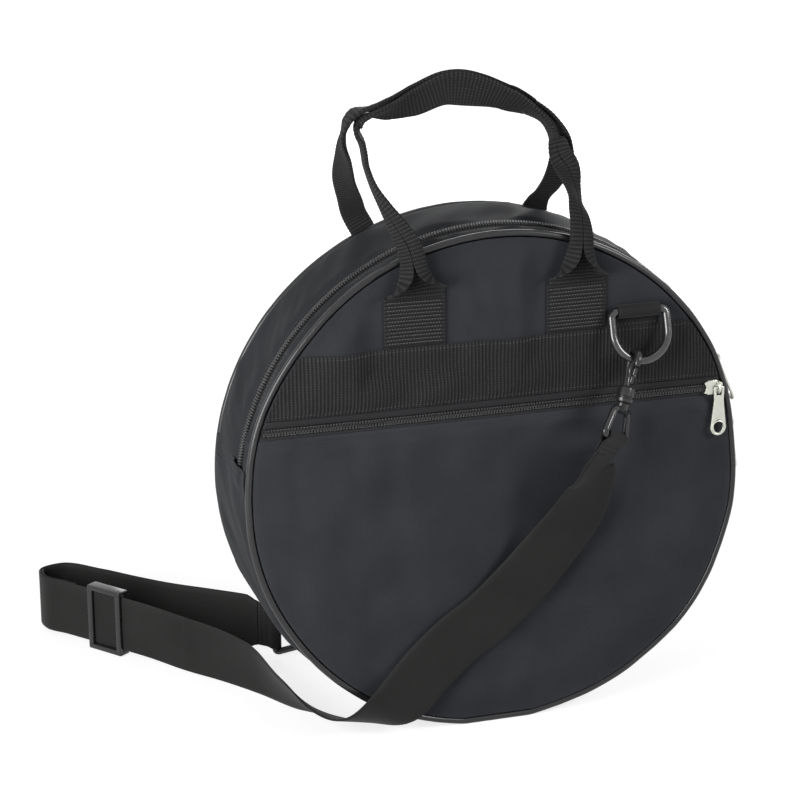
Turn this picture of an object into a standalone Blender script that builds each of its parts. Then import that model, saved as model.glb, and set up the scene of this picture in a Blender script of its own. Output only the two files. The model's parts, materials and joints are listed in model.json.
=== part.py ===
"""Round soft case for a hand drum, standing on its edge with its shoulder strap on the floor.

Metres, +Z up. The origin is the middle of the flattened underside, on the floor.
The front faces -Y, and the case's own axis runs along Y.
"""
import math

import bmesh
import bpy
from mathutils import Matrix, Vector

# Shared clearances
GAP = 0.0003
OVERRUN = 0.002

# The case
CASE_RADIUS = 0.170
CASE_DEPTH = 0.083
STANDING_CHORD = 0.045
NYLON = 0.0012
FOAM = 0.0032
LINING = 0.0006
PIPING_RADIUS = 0.0023
PIPING_PROUD = 0.001
ARC_STEP_DEGREES = 4.0

# The main zip runs round the upper half, nearer to the front than to the back
ZIP_START_DEGREES = -3.0
ZIP_END_DEGREES = 174.0
ZIP_CENTRE_Y = -0.0195
COIL_WIDTH = 0.0054
COIL_HEIGHT = 0.0022
TAPE_SHOW = 0.0045
TAPE_THICKNESS = 0.0008

# The front flap folds along this height above the case's centre
FOLD_HEIGHT = 0.0585
FOLD_SLIT = 0.0006
FOLD_STRIP_DEGREES = 25.5

# Webbing band, patches and pocket, as heights above the case's centre
WEBBING_WIDTH = 0.040
WEBBING_THICKNESS = 0.0015
BAND_BOTTOM = 0.0592
PATCH_BOTTOM = 0.0998
PATCH_HEIGHT = 0.032
PATCH_SPREAD = 0.0545
PATCH_SHIFT = -0.002
POCKET_TOP = 0.0460
POCKET_COIL_HEIGHT = 0.0514
POCKET_TAPE_WIDTH = 0.0043
POCKET_COIL_THICKNESS = 0.0015

# D-rings: a bar of wire in a webbing tab, and a rounded bow below it
RING_WIRE = 0.00275
RING_HALF_WIDTH = 0.019
RING_STRAIGHT = 0.014
RING_CORNER = 0.004
RING_BAR_HEIGHT = 0.1105
RING_CENTRE_X = 0.094
RING_TILT_DEGREES = 19.0
HOOK_ON_BOW_X = 0.0063

# Zip sliders and pulls
SLIDER_LENGTH = 0.013
SLIDER_WIDTH = 0.0096
SLIDER_PLATE = 0.0014
PULL_LIFT = 0.0004
BRIDGE_WIRE = 0.0009
BRIDGE_SPAN = 0.007
BRIDGE_HEIGHT = 0.0034
PULL_LENGTH = 0.033
PULL_WIDTH = 0.011
PULL_NECK_WIDTH = 0.0074
PULL_THICKNESS = 0.0014
PULL_BAR = 0.0008
PULL_SLOT_LENGTH = 0.0043
PULL_SLOT_WIDTH = 0.0036
PULL_HOLE_RADIUS = 0.0030
UPPER_SLIDER_DEGREES = 21.5
LOWER_SLIDER_DEGREES = 5.5
POCKET_SLIDER_INSET = 0.0035

# Swivel hooks
CLAW_RADIUS = 0.007
CLAW_WIRE = 0.0025
BARREL_RADIUS = 0.006
BARREL_TOP = 0.0162
BARREL_LENGTH = 0.011
STEM_RADIUS = 0.0021
STEM_CLEARANCE = 0.0004
STEM_SEAT = 0.006
COLLAR_RADIUS = 0.0042
COLLAR_HEIGHT = 0.0015
EYE_WIRE = 0.0024
EYE_TOP_HALF_WIDTH = 0.011
EYE_BOTTOM_HALF_WIDTH = 0.0198
EYE_NECK = 0.0033
EYE_HEIGHT = 0.018
EYE_SEAT = 0.0006
GATE_WIRE = 0.0017
GATE_PIVOT_FORWARD = 0.004
GATE_PLAY = 0.0013
STRAP_END_WIDTH = 0.0325
STRAP_END_LENGTH = 0.013

# Slide adjuster on the strap
GLIDE_LENGTH = 0.030
GLIDE_BAR = 0.0042
GLIDE_RAIL = 0.0036
GLIDE_BAR_THICKNESS = 0.0026

# Handles: webbing folded lengthways into two layers, which spreads to its full width at each foot
HANDLE_THICKNESS = 0.0030
HANDLE_FOOT_WIDTH = 0.038
HANDLE_LEG_WIDTH = 0.018
HANDLE_GRIP_WIDTH = 0.0205
HANDLE_LAYER_GAP = 0.0006
HANDLE_STAGGER = 0.0012
HANDLE_ABOVE_CASE = 0.086

# Worked out from the sizes above
CENTRE_HEIGHT = math.sqrt(CASE_RADIUS ** 2 - (STANDING_CHORD / 2) ** 2)
HALF_DEPTH = CASE_DEPTH / 2
PIPING_RING_RADIUS = CASE_RADIUS - PIPING_RADIUS
PIPING_Y = HALF_DEPTH - PIPING_RADIUS + GAP
PANEL_RADIUS = PIPING_RING_RADIUS - PIPING_RADIUS - GAP
GUSSET_OUTER = CASE_RADIUS - PIPING_PROUD
GUSSET_INNER = GUSSET_OUTER - NYLON
GUSSET_HALF_WIDTH = PIPING_Y - PIPING_RADIUS - GAP
PANEL_LOWEST = 2 * PIPING_RADIUS + 2 * GAP
PAD_OUTER = GUSSET_INNER - GAP
PAD_INNER = PAD_OUTER - FOAM
LINING_OUTER = PAD_INNER - GAP
LINING_INNER = LINING_OUTER - LINING
PAD_HALF_WIDTH = HALF_DEPTH - NYLON - FOAM - 2 * GAP
COIL_HALF = COIL_WIDTH / 2
WEBBING_Y = HALF_DEPTH + GAP
WEBBING_FACE_Y = WEBBING_Y + WEBBING_THICKNESS
TAB_WIDTH = 2 * (RING_HALF_WIDTH - RING_CORNER - GAP)
RING_BAR_Y = WEBBING_FACE_Y + GAP + RING_WIRE
PATCH_TOP = PATCH_BOTTOM + PATCH_HEIGHT
POCKET_HALF_RUN = math.sqrt(PANEL_RADIUS ** 2 - (POCKET_COIL_HEIGHT + COIL_HALF) ** 2)
POCKET_SLIDER_X = POCKET_HALF_RUN - POCKET_SLIDER_INSET
HANDLE_FOOT = PATCH_TOP + GAP
HANDLE_RISE = CASE_RADIUS + HANDLE_ABOVE_CASE - HANDLE_FOOT
HANDLE_LAYER = HANDLE_THICKNESS / 2 + HANDLE_LAYER_GAP / 2
HANDLE_FOOT_Y = WEBBING_Y + GAP + HANDLE_THICKNESS / 2

# Where the hooks hang or lie: the ring wire's place in the claw, and the shank's direction
FRONT_HOOK_DOWN = Vector((-0.351, -0.252, -0.901)).normalized()
FRONT_EYE_ACROSS = Vector((0.616, 0.663, -0.424))
REAR_HOOK_PLACE = Vector((-0.0720, 0.0790, 0.0235))
REAR_HOOK_DOWN = Vector((-0.775, 0.632, 0.0)).normalized()
REAR_EYE_ACROSS = Vector((0.0, 0.0, 1.0))

# Where the strap's front stretch comes down beside the case
STRAP_FOOT_X = -0.0740
STRAP_FOOT_CLEAR = 0.0065
STRAP_FOOT_HEIGHT = 0.0260

# The adjuster's place on the strap's straight stretch, and that stretch's direction
GLIDE_PLACE = Vector((-0.2205, 0.1610, 0.0243))
GLIDE_ALONG = Vector((-0.581, 0.814, 0.0)).normalized()

# Strap routes: centre of the webbing and the direction across it, chosen by hand. The front stretch
# is in shares of the way from the hook's bar to the strap's foot, along each axis.
STRAP_FRONT_SHARES = [
    ((0.101, 0.215, 0.183), (-0.70, -0.45, 0.55)),
    ((0.150, 0.565, 0.305), (-0.78, -0.20, 0.58)),
    ((0.279, 0.890, 0.463), (-0.77, -0.05, 0.63)),
    ((0.398, 0.990, 0.574), (-0.73, 0.00, 0.68)),
    ((0.565, 1.040, 0.699), (-0.60, 0.00, 0.80)),
    ((0.711, 1.040, 0.779), (-0.60, 0.00, 0.80)),
    ((0.856, 1.040, 0.886), (-0.72, 0.00, 0.69)),
    ((1.000, 1.000, 1.000), (-0.80, -0.10, 0.59)),
]
STRAP_CORNER_ROUTE = [
    ((-0.0960, -0.0370, 0.0125), (-0.76, -0.50, 0.36)),
    ((-0.1130, -0.0140, 0.0110), (-0.70, -0.42, 0.48)),
    ((-0.1290, 0.0100, 0.0168), (-0.50, -0.28, 0.80)),
    ((-0.1430, 0.0460, 0.0212), (-0.20, -0.10, 0.97)),
    ((-0.1600, 0.0780, 0.0220), (-0.06, -0.03, 1.00)),
    ((-0.1790, 0.1035, 0.0228), (0.0, 0.0, 1.0)),
]
STRAP_LOOP_ROUTE = [
    ((-0.1960, 0.1267, 0.0243), (0.0, 0.0, 1.0)),
    ((-0.2205, 0.1610, 0.0243), (0.0, 0.0, 1.0)),
    ((-0.2435, 0.1932, 0.0240), (0.0, 0.0, 1.0)),
    ((-0.2540, 0.2110, 0.0225), (0.0, 0.0, 1.0)),
    ((-0.2530, 0.2290, 0.0218), (0.0, 0.0, 1.0)),
    ((-0.2380, 0.2350, 0.0215), (0.0, 0.0, 1.0)),
    ((-0.2130, 0.2150, 0.0212), (0.0, 0.0, 1.0)),
    ((-0.1920, 0.1915, 0.0212), (0.0, 0.0, 1.0)),
    ((-0.1740, 0.1720, 0.0215), (0.0, 0.0, 1.0)),
    ((-0.1500, 0.1490, 0.0225), (0.0, 0.0, 1.0)),
]
STRAP_STEPS = 4

# Handle routes from left to right, as shares of the patches' spread, the foot's depth and the rise
# above the foot, then the direction across, and the spread: 1 at a foot, 0 on a leg, -1 on the grip
FRONT_LEFT_LEG_SHARES = [
    ((-1.000, -1.00, 0.000), (1.00, 0.00, 0.00), 1.0),
    ((-1.000, -1.00, 0.014), (1.00, 0.00, 0.00), 1.0),
    ((-1.000, -1.00, 0.028), (1.00, 0.00, 0.00), 1.0),
    ((-1.009, -1.03, 0.065), (1.00, 0.00, 0.05), 0.75),
    ((-1.028, -1.06, 0.121), (0.97, -0.10, 0.20), 0.25),
    ((-1.055, -1.09, 0.202), (0.95, -0.20, 0.20), 0.0),
    ((-1.119, -1.09, 0.299), (0.85, -0.50, 0.15), 0.0),
    ((-1.229, -1.04, 0.391), (0.60, -0.80, 0.10), 0.0),
    ((-1.339, -0.94, 0.476), (0.20, -0.95, 0.20), 0.0),
    ((-1.422, -0.76, 0.557), (-0.10, -0.95, 0.20), 0.0),
    ((-1.455, -0.52, 0.646), (-0.20, -0.95, 0.10), 0.0),
    ((-1.446, -0.26, 0.743), (-0.15, -1.00, 0.00), 0.0),
]
GRIP_SHARES = [
    ((-1.514, 0.00, 0.831), (-0.12, -1.00, 0.00), 0.0),
    ((-1.450, 0.00, 0.880), (-0.05, -1.00, 0.00), 0.0),
    ((-1.303, 0.00, 0.900), (0.00, -0.95, 0.25), 0.0),
    ((-1.037, 0.00, 0.912), (0.00, -0.70, 0.70), 0.0),
    ((-0.752, 0.00, 0.944), (0.00, -0.30, 0.95), -1.0),
    ((-0.367, 0.00, 0.997), (0.00, -0.05, 1.00), -1.0),
    ((0.037, 0.00, 0.973), (0.00, -0.15, 0.98), -1.0),
    ((0.367, 0.00, 0.928), (0.00, -0.50, 0.85), 0.0),
    ((0.679, 0.00, 0.864), (0.00, -0.85, 0.50), 0.0),
    ((0.917, 0.00, 0.791), (0.00, -0.98, 0.20), 0.0),
    ((1.055, 0.00, 0.694), (0.15, -1.00, 0.00), 0.0),
]
FRONT_RIGHT_LEG_SHARES = [
    ((1.024, -0.16, 0.613), (0.60, -0.80, 0.00), 0.0),
    ((1.079, -0.28, 0.549), (0.95, -0.20, 0.00), 0.0),
    ((1.083, -0.44, 0.484), (0.80, 0.60, 0.00), 0.0),
    ((1.073, -0.66, 0.412), (0.55, 0.83, 0.00), 0.0),
    ((1.055, -0.92, 0.331), (0.85, 0.45, 0.00), 0.0),
    ((1.028, -1.08, 0.234), (1.00, 0.10, 0.00), 0.0),
    ((1.006, -1.07, 0.137), (1.00, 0.00, 0.00), 0.25),
    ((1.000, -1.03, 0.065), (1.00, 0.00, 0.00), 0.75),
    ((1.000, -1.00, 0.028), (1.00, 0.00, 0.00), 1.0),
    ((1.000, -1.00, 0.014), (1.00, 0.00, 0.00), 1.0),
    ((1.000, -1.00, 0.000), (1.00, 0.00, 0.00), 1.0),
]
BACK_LEFT_LEG_SHARES = [
    ((-1.000, 1.00, 0.000), (1.00, 0.00, 0.00), 1.0),
    ((-1.000, 1.00, 0.014), (1.00, 0.00, 0.00), 1.0),
    ((-1.000, 1.00, 0.028), (1.00, 0.00, 0.00), 1.0),
    ((-1.028, 1.03, 0.073), (1.00, 0.00, 0.05), 0.75),
    ((-1.110, 1.08, 0.161), (1.00, -0.02, 0.15), 0.0),
    ((-1.239, 1.06, 0.266), (0.95, -0.15, 0.30), 0.0),
    ((-1.358, 0.80, 0.379), (0.75, -0.60, 0.30), 0.0),
    ((-1.483, 0.55, 0.508), (0.55, -0.80, 0.20), 0.0),
    ((-1.541, 0.30, 0.638), (0.25, -0.95, 0.10), 0.0),
    ((-1.578, 0.16, 0.743), (-0.10, -1.00, 0.00), 0.0),
]
BACK_RIGHT_LEG_SHARES = [
    ((1.145, 0.13, 0.605), (0.60, -0.80, 0.00), 0.0),
    ((1.161, 0.27, 0.533), (0.90, -0.35, 0.00), 0.0),
    ((1.149, 0.45, 0.444), (1.00, -0.15, 0.10), 0.0),
    ((1.110, 0.68, 0.355), (1.00, 0.00, 0.10), 0.0),
    ((1.064, 0.95, 0.274), (1.00, 0.00, 0.05), 0.0),
    ((1.028, 1.07, 0.178), (1.00, 0.00, 0.00), 0.25),
    ((1.000, 1.03, 0.065), (1.00, 0.00, 0.00), 0.75),
    ((1.000, 1.00, 0.028), (1.00, 0.00, 0.00), 1.0),
    ((1.000, 1.00, 0.014), (1.00, 0.00, 0.00), 1.0),
    ((1.000, 1.00, 0.000), (1.00, 0.00, 0.00), 1.0),
]
GRIP_PARTING_SHARES = (2.0, 1.35, 1.0)
HANDLE_STEPS = 3

RIGHT_WAY_OUT = Matrix(((1, 0, 0), (0, 0, -1), (0, 1, 0))).to_4x4()


def clear_scene():
    for old in list(bpy.data.objects):
        bpy.data.objects.remove(old, do_unlink=True)


def new_collection(name):
    collection = bpy.data.collections.new(name)
    bpy.context.scene.collection.children.link(collection)
    return collection


def new_material(name, colour, roughness, metallic=0.0):
    material = bpy.data.materials.new(name)
    material.use_nodes = True
    shader = material.node_tree.nodes["Principled BSDF"]
    shader.inputs["Base Color"].default_value = (*colour, 1.0)
    shader.inputs["Roughness"].default_value = roughness
    shader.inputs["Metallic"].default_value = metallic
    return material


clear_scene()
PARTS = new_collection("drum_case")
CUTTERS = new_collection("cutters")
CLOTH_BLACK = new_material("nylon_cloth", (0.024, 0.025, 0.028), 0.72)
GUSSET_BLACK = new_material("gusset_cloth", (0.020, 0.022, 0.024), 0.75)
WEBBING_BLACK = new_material("webbing", (0.022, 0.021, 0.020), 0.82)
PIPING_BLACK = new_material("vinyl_piping", (0.012, 0.012, 0.013), 0.34)
PLASTIC_BLACK = new_material("hook_plastic", (0.016, 0.016, 0.017), 0.38)
FOAM_GREY = new_material("foam", (0.16, 0.16, 0.17), 0.95)
LINING_BLACK = new_material("lining", (0.035, 0.035, 0.038), 0.80)
ZIP_BLACK = new_material("zip_coil", (0.014, 0.014, 0.015), 0.48)
ZINC = new_material("slider_metal", (0.62, 0.62, 0.57), 0.30, 1.0)


def add_object(name, data, material, collection=None):
    item = bpy.data.objects.new(name, data)
    (collection or PARTS).objects.link(item)
    data.materials.append(material)
    return item


def add_mesh(name, shape, material, collection=None):
    """Make an object from a bmesh, with its faces pointing out."""
    bmesh.ops.recalc_face_normals(shape, faces=shape.faces)
    data = bpy.data.meshes.new(name)
    shape.to_mesh(data)
    shape.free()
    return add_object(name, data, material, collection)


def smooth(item, angle_degrees=40.0):
    item.data.shade_smooth()
    item.data.set_sharp_from_angle(angle=math.radians(angle_degrees))
    return item


def box(name, low, high, material, collection=None):
    shape = bmesh.new()
    size = Vector(high) - Vector(low)
    middle = (Vector(high) + Vector(low)) / 2
    place = Matrix.Translation(middle) @ Matrix.Diagonal((*size, 1.0))
    bmesh.ops.create_cube(shape, size=1.0, matrix=place)
    return add_mesh(name, shape, material, collection)


def rod(name, start, end, radius, material, sides=16, collection=None):
    start = Vector(start)
    end = Vector(end)
    along = end - start
    turn = along.to_track_quat("Z", "Y").to_matrix().to_4x4()
    shape = bmesh.new()
    bmesh.ops.create_cone(shape, cap_ends=True, segments=sides, radius1=radius, radius2=radius,
                          depth=along.length, matrix=Matrix.Translation((start + end) / 2) @ turn)
    return add_mesh(name, shape, material, collection)


def combine(item, other, operation):
    """Join or cut one mesh object with another, which becomes a hidden cutter."""
    step = item.modifiers.new(operation.lower(), "BOOLEAN")
    step.operation = operation
    step.object = other
    for collection in other.users_collection:
        collection.objects.unlink(other)
    CUTTERS.objects.link(other)
    other.hide_render = True
    other.display_type = "WIRE"
    return item


def tube(name, points, radius, material, closed=False, resolution=2):
    data = bpy.data.curves.new(name, "CURVE")
    data.dimensions = "3D"
    data.bevel_depth = radius
    data.bevel_resolution = resolution
    data.use_fill_caps = not closed
    line = data.splines.new("POLY")
    line.points.add(len(points) - 1)
    for spot, point in zip(line.points, points):
        spot.co = (*point, 1.0)
    line.use_cyclic_u = closed
    return add_object(name, data, material)


def mesh_from_curve(item, material):
    """Turn a curve object into a welded mesh object of the same name."""
    evaluated = item.evaluated_get(bpy.context.evaluated_depsgraph_get())
    data = bpy.data.meshes.new_from_object(evaluated)
    shape = bmesh.new()
    shape.from_mesh(data)
    bmesh.ops.remove_doubles(shape, verts=shape.verts, dist=GAP / 10)
    name = item.name
    place = item.matrix_world.copy()
    bpy.data.objects.remove(item, do_unlink=True)
    bpy.data.meshes.remove(data)
    solid = add_mesh(name, shape, material)
    solid.name = name
    solid.matrix_world = place
    return solid


def plate(name, outlines, front_y, back_y, material):
    """A flat piece in the XZ plane between two depths, from outlines of (x, height) points."""
    data = bpy.data.curves.new(name, "CURVE")
    data.dimensions = "2D"
    data.fill_mode = "BOTH"
    data.extrude = abs(back_y - front_y) / 2
    for outline in outlines:
        line = data.splines.new("POLY")
        line.points.add(len(outline) - 1)
        for spot, (x, height) in zip(line.points, outline):
            spot.co = (x, max(height, PANEL_LOWEST - CENTRE_HEIGHT), 0.0, 1.0)
        line.use_cyclic_u = True
    item = add_object(name, data, material)
    item.matrix_world = Matrix.Translation((0.0, (front_y + back_y) / 2, CENTRE_HEIGHT)) @ RIGHT_WAY_OUT
    return item


def arc_points(radius, start_degrees, end_degrees, step_degrees=ARC_STEP_DEGREES):
    count = max(2, math.ceil(abs(end_degrees - start_degrees) / step_degrees))
    points = []
    for i in range(count + 1):
        angle = math.radians(start_degrees + (end_degrees - start_degrees) * i / count)
        points.append((radius * math.cos(angle), radius * math.sin(angle)))
    return points


def edge_degrees(radius, height):
    return math.degrees(math.asin(height / radius))


def disc_above(radius, height):
    low = edge_degrees(radius, height)
    return arc_points(radius, low, 180.0 - low)


def disc_below(radius, height):
    low = edge_degrees(radius, height)
    return arc_points(radius, 180.0 - low, 360.0 + low)


def ring_strip(name, outer, inner, front_y, back_y, start_degrees, end_degrees, material):
    """A curved strip round the case's axis, with square ends."""
    shape = bmesh.new()
    start = math.radians(start_degrees)
    corners = []
    for radius, y in ((inner, front_y), (outer, front_y), (outer, back_y), (inner, back_y)):
        place = (radius * math.cos(start), y, CENTRE_HEIGHT + radius * math.sin(start))
        corners.append(shape.verts.new(place))
    face = shape.faces.new(corners)
    steps = max(2, math.ceil((end_degrees - start_degrees) / ARC_STEP_DEGREES))
    bmesh.ops.spin(shape, geom=[face] + list(face.edges) + corners, cent=(0.0, 0.0, CENTRE_HEIGHT),
                   axis=(0.0, -1.0, 0.0), angle=math.radians(end_degrees - start_degrees), steps=steps)
    return smooth(add_mesh(name, shape, material))


def piping(name, y, start_degrees, end_degrees, closed=False):
    """Round edging; it runs straight along the floor under the case."""
    points = []
    ring = arc_points(PIPING_RING_RADIUS, start_degrees, end_degrees)
    if closed:
        ring = ring[:-1]
    for x, height in ring:
        points.append((x, y, max(CENTRE_HEIGHT + height, PIPING_RADIUS)))
    return tube(name, points, PIPING_RADIUS, PIPING_BLACK, closed)


def spacing_along(places):
    """How far along the route each place lies, counted straight from one to the next."""
    marks = [0.0]
    for here, there in zip(places, places[1:]):
        marks.append(marks[-1] + (there - here).length)
    return marks


def smooth_values(values, marks, steps):
    """Values on a smooth curve through those given, which lie at the marks along a route."""
    values = [Vector(value) for value in values]
    last = len(values) - 1
    rates = [(values[i + 1] - values[i]) / (marks[i + 1] - marks[i]) for i in range(last)]
    slopes = [rates[0]]
    for i in range(1, last):
        before = marks[i] - marks[i - 1]
        after = marks[i + 1] - marks[i]
        slopes.append((rates[i] * before + rates[i - 1] * after) / (before + after))
    slopes.append(rates[-1])
    route = []
    for i in range(last):
        run = marks[i + 1] - marks[i]
        for k in range(steps):
            t = k / steps
            route.append((2 * t ** 3 - 3 * t ** 2 + 1) * values[i]
                         + (t ** 3 - 2 * t ** 2 + t) * run * slopes[i]
                         + (3 * t ** 2 - 2 * t ** 3) * values[i + 1]
                         + (t ** 3 - t ** 2) * run * slopes[i + 1])
    route.append(values[-1])
    return route


def strip_frame(centres, acrosses, i):
    """The directions along, across and out of a band's face at one of its centres."""
    along = (centres[min(i + 1, len(centres) - 1)] - centres[max(i - 1, 0)]).normalized()
    across = (acrosses[i] - acrosses[i].dot(along) * along).normalized()
    return along, across, along.cross(across)


def ribbon(name, centres, acrosses, widths, thickness, offsets, span=None):
    """A flat band of webbing lofted along its centres, with a rectangle of its width and thickness.

    offsets move it out of its face, and span picks a stretch of the centres, which stops short of
    its neighbours by a gap.
    """
    first, last = span or (0, len(centres) - 1)
    end = len(centres) - 1
    shape = bmesh.new()
    rings = []
    for i in range(first, last + 1):
        along, across, face_out = strip_frame(centres, acrosses, i)
        middle = centres[i] + offsets[i] * face_out
        if i == first and first > 0:
            middle = middle + along * GAP / 2
        if i == last and last < end:
            middle = middle - along * GAP / 2
        ring = []
        for side, depth in ((-1, -1), (1, -1), (1, 1), (-1, 1)):
            corner = middle + side * across * widths[i] / 2 + depth * face_out * thickness / 2
            ring.append(shape.verts.new(corner))
        rings.append(ring)
    for one, two in zip(rings, rings[1:]):
        for k in range(4):
            shape.faces.new((one[k], one[(k + 1) % 4], two[(k + 1) % 4], two[k]))
    shape.faces.new(rings[0][::-1])
    shape.faces.new(rings[-1])
    bmesh.ops.triangulate(shape, faces=shape.faces)
    return smooth(add_mesh(name, shape, WEBBING_BLACK))


def frame_matrix(place, across, forward, up):
    turn = Matrix((across, forward, up)).transposed().to_4x4()
    return Matrix.Translation(place) @ turn


def build_panels():
    """The back, the two parts of the front, their foam and their lining."""
    full = [arc_points(PANEL_RADIUS, 0.0, 360.0)[:-1]]
    full_lining = [arc_points(LINING_INNER - GAP, 0.0, 360.0)[:-1]]
    fold_low = FOLD_HEIGHT - FOLD_SLIT / 2
    fold_high = FOLD_HEIGHT + FOLD_SLIT / 2
    foam_y = HALF_DEPTH - NYLON - GAP
    lining_y = PAD_HALF_WIDTH
    plate("back_panel", full, HALF_DEPTH, HALF_DEPTH - NYLON, CLOTH_BLACK)
    plate("back_padding", full, foam_y, foam_y - FOAM + GAP, FOAM_GREY)
    plate("back_lining", full_lining, lining_y, lining_y - LINING, LINING_BLACK)
    upper = [disc_above(PANEL_RADIUS, fold_high)]
    upper_lining = [disc_above(LINING_INNER - GAP, fold_high)]
    plate("front_panel_upper", upper, -HALF_DEPTH, -HALF_DEPTH + NYLON, CLOTH_BLACK)
    plate("front_padding_upper", upper, -foam_y, -foam_y + FOAM - GAP, FOAM_GREY)
    plate("front_lining_upper", upper_lining, -lining_y, -lining_y + LINING, LINING_BLACK)
    lower = [disc_below(PANEL_RADIUS, fold_low)]
    lower_lining = [disc_below(LINING_INNER - GAP, fold_low)]
    inner_face = HALF_DEPTH - NYLON - GAP
    plate("front_panel_lower", lower, -inner_face, -inner_face + NYLON, CLOTH_BLACK)
    pad_face = inner_face - NYLON - GAP
    plate("front_padding_lower", lower, -pad_face, -foam_y + FOAM - GAP, FOAM_GREY)
    plate("front_lining_lower", lower_lining, -lining_y, -lining_y + LINING, LINING_BLACK)


def build_pocket():
    """The outer pocket panel, and its zip's two tapes and coil."""
    coil_low = POCKET_COIL_HEIGHT - COIL_HALF
    coil_high = POCKET_COIL_HEIGHT + COIL_HALF
    plate("pocket_panel", [disc_below(PANEL_RADIUS, POCKET_TOP)], -HALF_DEPTH, -HALF_DEPTH + NYLON,
          CLOTH_BLACK)
    tape_back = -HALF_DEPTH + TAPE_THICKNESS
    lower_top = POCKET_TOP + GAP + POCKET_TAPE_WIDTH
    for name, low, high in (("pocket_zip_tape_lower", POCKET_TOP + GAP, lower_top),
                            ("pocket_zip_tape_upper", lower_top + GAP, FOLD_HEIGHT - FOLD_SLIT / 2)):
        low_angle = edge_degrees(PANEL_RADIUS, low)
        high_angle = edge_degrees(PANEL_RADIUS, high)
        outline = (arc_points(PANEL_RADIUS, low_angle, high_angle)
                   + arc_points(PANEL_RADIUS, 180.0 - high_angle, 180.0 - low_angle))
        plate(name, [outline], -HALF_DEPTH, tape_back, ZIP_BLACK)
    coil_back = -HALF_DEPTH - GAP
    box("pocket_zip_coil", (-POCKET_HALF_RUN, coil_back - POCKET_COIL_THICKNESS, CENTRE_HEIGHT + coil_low),
        (POCKET_HALF_RUN, coil_back, CENTRE_HEIGHT + coil_high), ZIP_BLACK)


def build_gusset(ground):
    """The side wall round the case, in the pieces that the zip and the flap part."""
    end = 360.0 + ZIP_START_DEGREES
    slit = math.degrees(GAP / GUSSET_OUTER)
    lower = ring_strip("gusset_lower", GUSSET_OUTER, GUSSET_INNER, -GUSSET_HALF_WIDTH,
                       GUSSET_HALF_WIDTH, ZIP_END_DEGREES + slit, end - slit, GUSSET_BLACK)
    combine(lower, ground, "DIFFERENCE")
    ring_strip("gusset_lower_padding", PAD_OUTER, PAD_INNER, -PAD_HALF_WIDTH + GAP, PAD_HALF_WIDTH - GAP,
               ZIP_END_DEGREES + slit, end - slit, FOAM_GREY)
    ring_strip("gusset_lower_lining", LINING_OUTER, LINING_INNER, -PAD_HALF_WIDTH + GAP,
               PAD_HALF_WIDTH - GAP, ZIP_END_DEGREES + slit, end - slit, LINING_BLACK)
    rear_edge = ZIP_CENTRE_Y + COIL_HALF + TAPE_SHOW
    front_edge = ZIP_CENTRE_Y - COIL_HALF - TAPE_SHOW
    ring_strip("gusset_rear", GUSSET_OUTER, GUSSET_INNER, rear_edge + GAP, GUSSET_HALF_WIDTH,
               ZIP_START_DEGREES, ZIP_END_DEGREES, GUSSET_BLACK)
    ring_strip("gusset_rear_padding", PAD_OUTER, PAD_INNER, rear_edge + GAP, PAD_HALF_WIDTH - GAP,
               ZIP_START_DEGREES, ZIP_END_DEGREES, FOAM_GREY)
    ring_strip("gusset_rear_lining", LINING_OUTER, LINING_INNER, rear_edge + GAP, PAD_HALF_WIDTH - GAP,
               ZIP_START_DEGREES, ZIP_END_DEGREES, LINING_BLACK)
    flap = (FOLD_STRIP_DEGREES + slit, 180.0 - FOLD_STRIP_DEGREES - slit)
    stays = {"right": (ZIP_START_DEGREES, FOLD_STRIP_DEGREES - slit),
             "left": (180.0 - FOLD_STRIP_DEGREES + slit, ZIP_END_DEGREES)}
    spans = {"": flap, "_end_right": stays["right"], "_end_left": stays["left"]}
    tape_outer = GUSSET_INNER + TAPE_THICKNESS
    coil_outer = tape_outer + COIL_HEIGHT
    for ending, (start, stop) in spans.items():
        ring_strip("gusset_front" + ending, GUSSET_OUTER, GUSSET_INNER, -GUSSET_HALF_WIDTH,
                   front_edge - GAP, start, stop, GUSSET_BLACK)
        ring_strip("zip_half_front" + ending, coil_outer, GUSSET_INNER, front_edge,
                   ZIP_CENTRE_Y - GAP / 2, start, stop, ZIP_BLACK)
    ring_strip("zip_half_rear", coil_outer, GUSSET_INNER, ZIP_CENTRE_Y + GAP / 2, rear_edge,
               ZIP_START_DEGREES, ZIP_END_DEGREES, ZIP_BLACK)


def build_piping():
    fold = edge_degrees(PIPING_RING_RADIUS, FOLD_HEIGHT)
    slit = math.degrees(GAP / PIPING_RING_RADIUS)
    piping("back_piping", PIPING_Y, 0.0, 360.0, closed=True)
    piping("front_piping_upper", -PIPING_Y, fold + slit, 180.0 - fold - slit)
    piping("front_piping_lower", -PIPING_Y, 180.0 - fold + slit, 360.0 + fold - slit)


def webbing_block(name, side, low_x, high_x, low, high):
    """A piece of webbing flat on the front (side -1) or on the back (side 1)."""
    faces = sorted((side * WEBBING_Y, side * WEBBING_FACE_Y))
    return box(name, (low_x, faces[0], CENTRE_HEIGHT + low), (high_x, faces[1], CENTRE_HEIGHT + high),
               WEBBING_BLACK)


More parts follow.
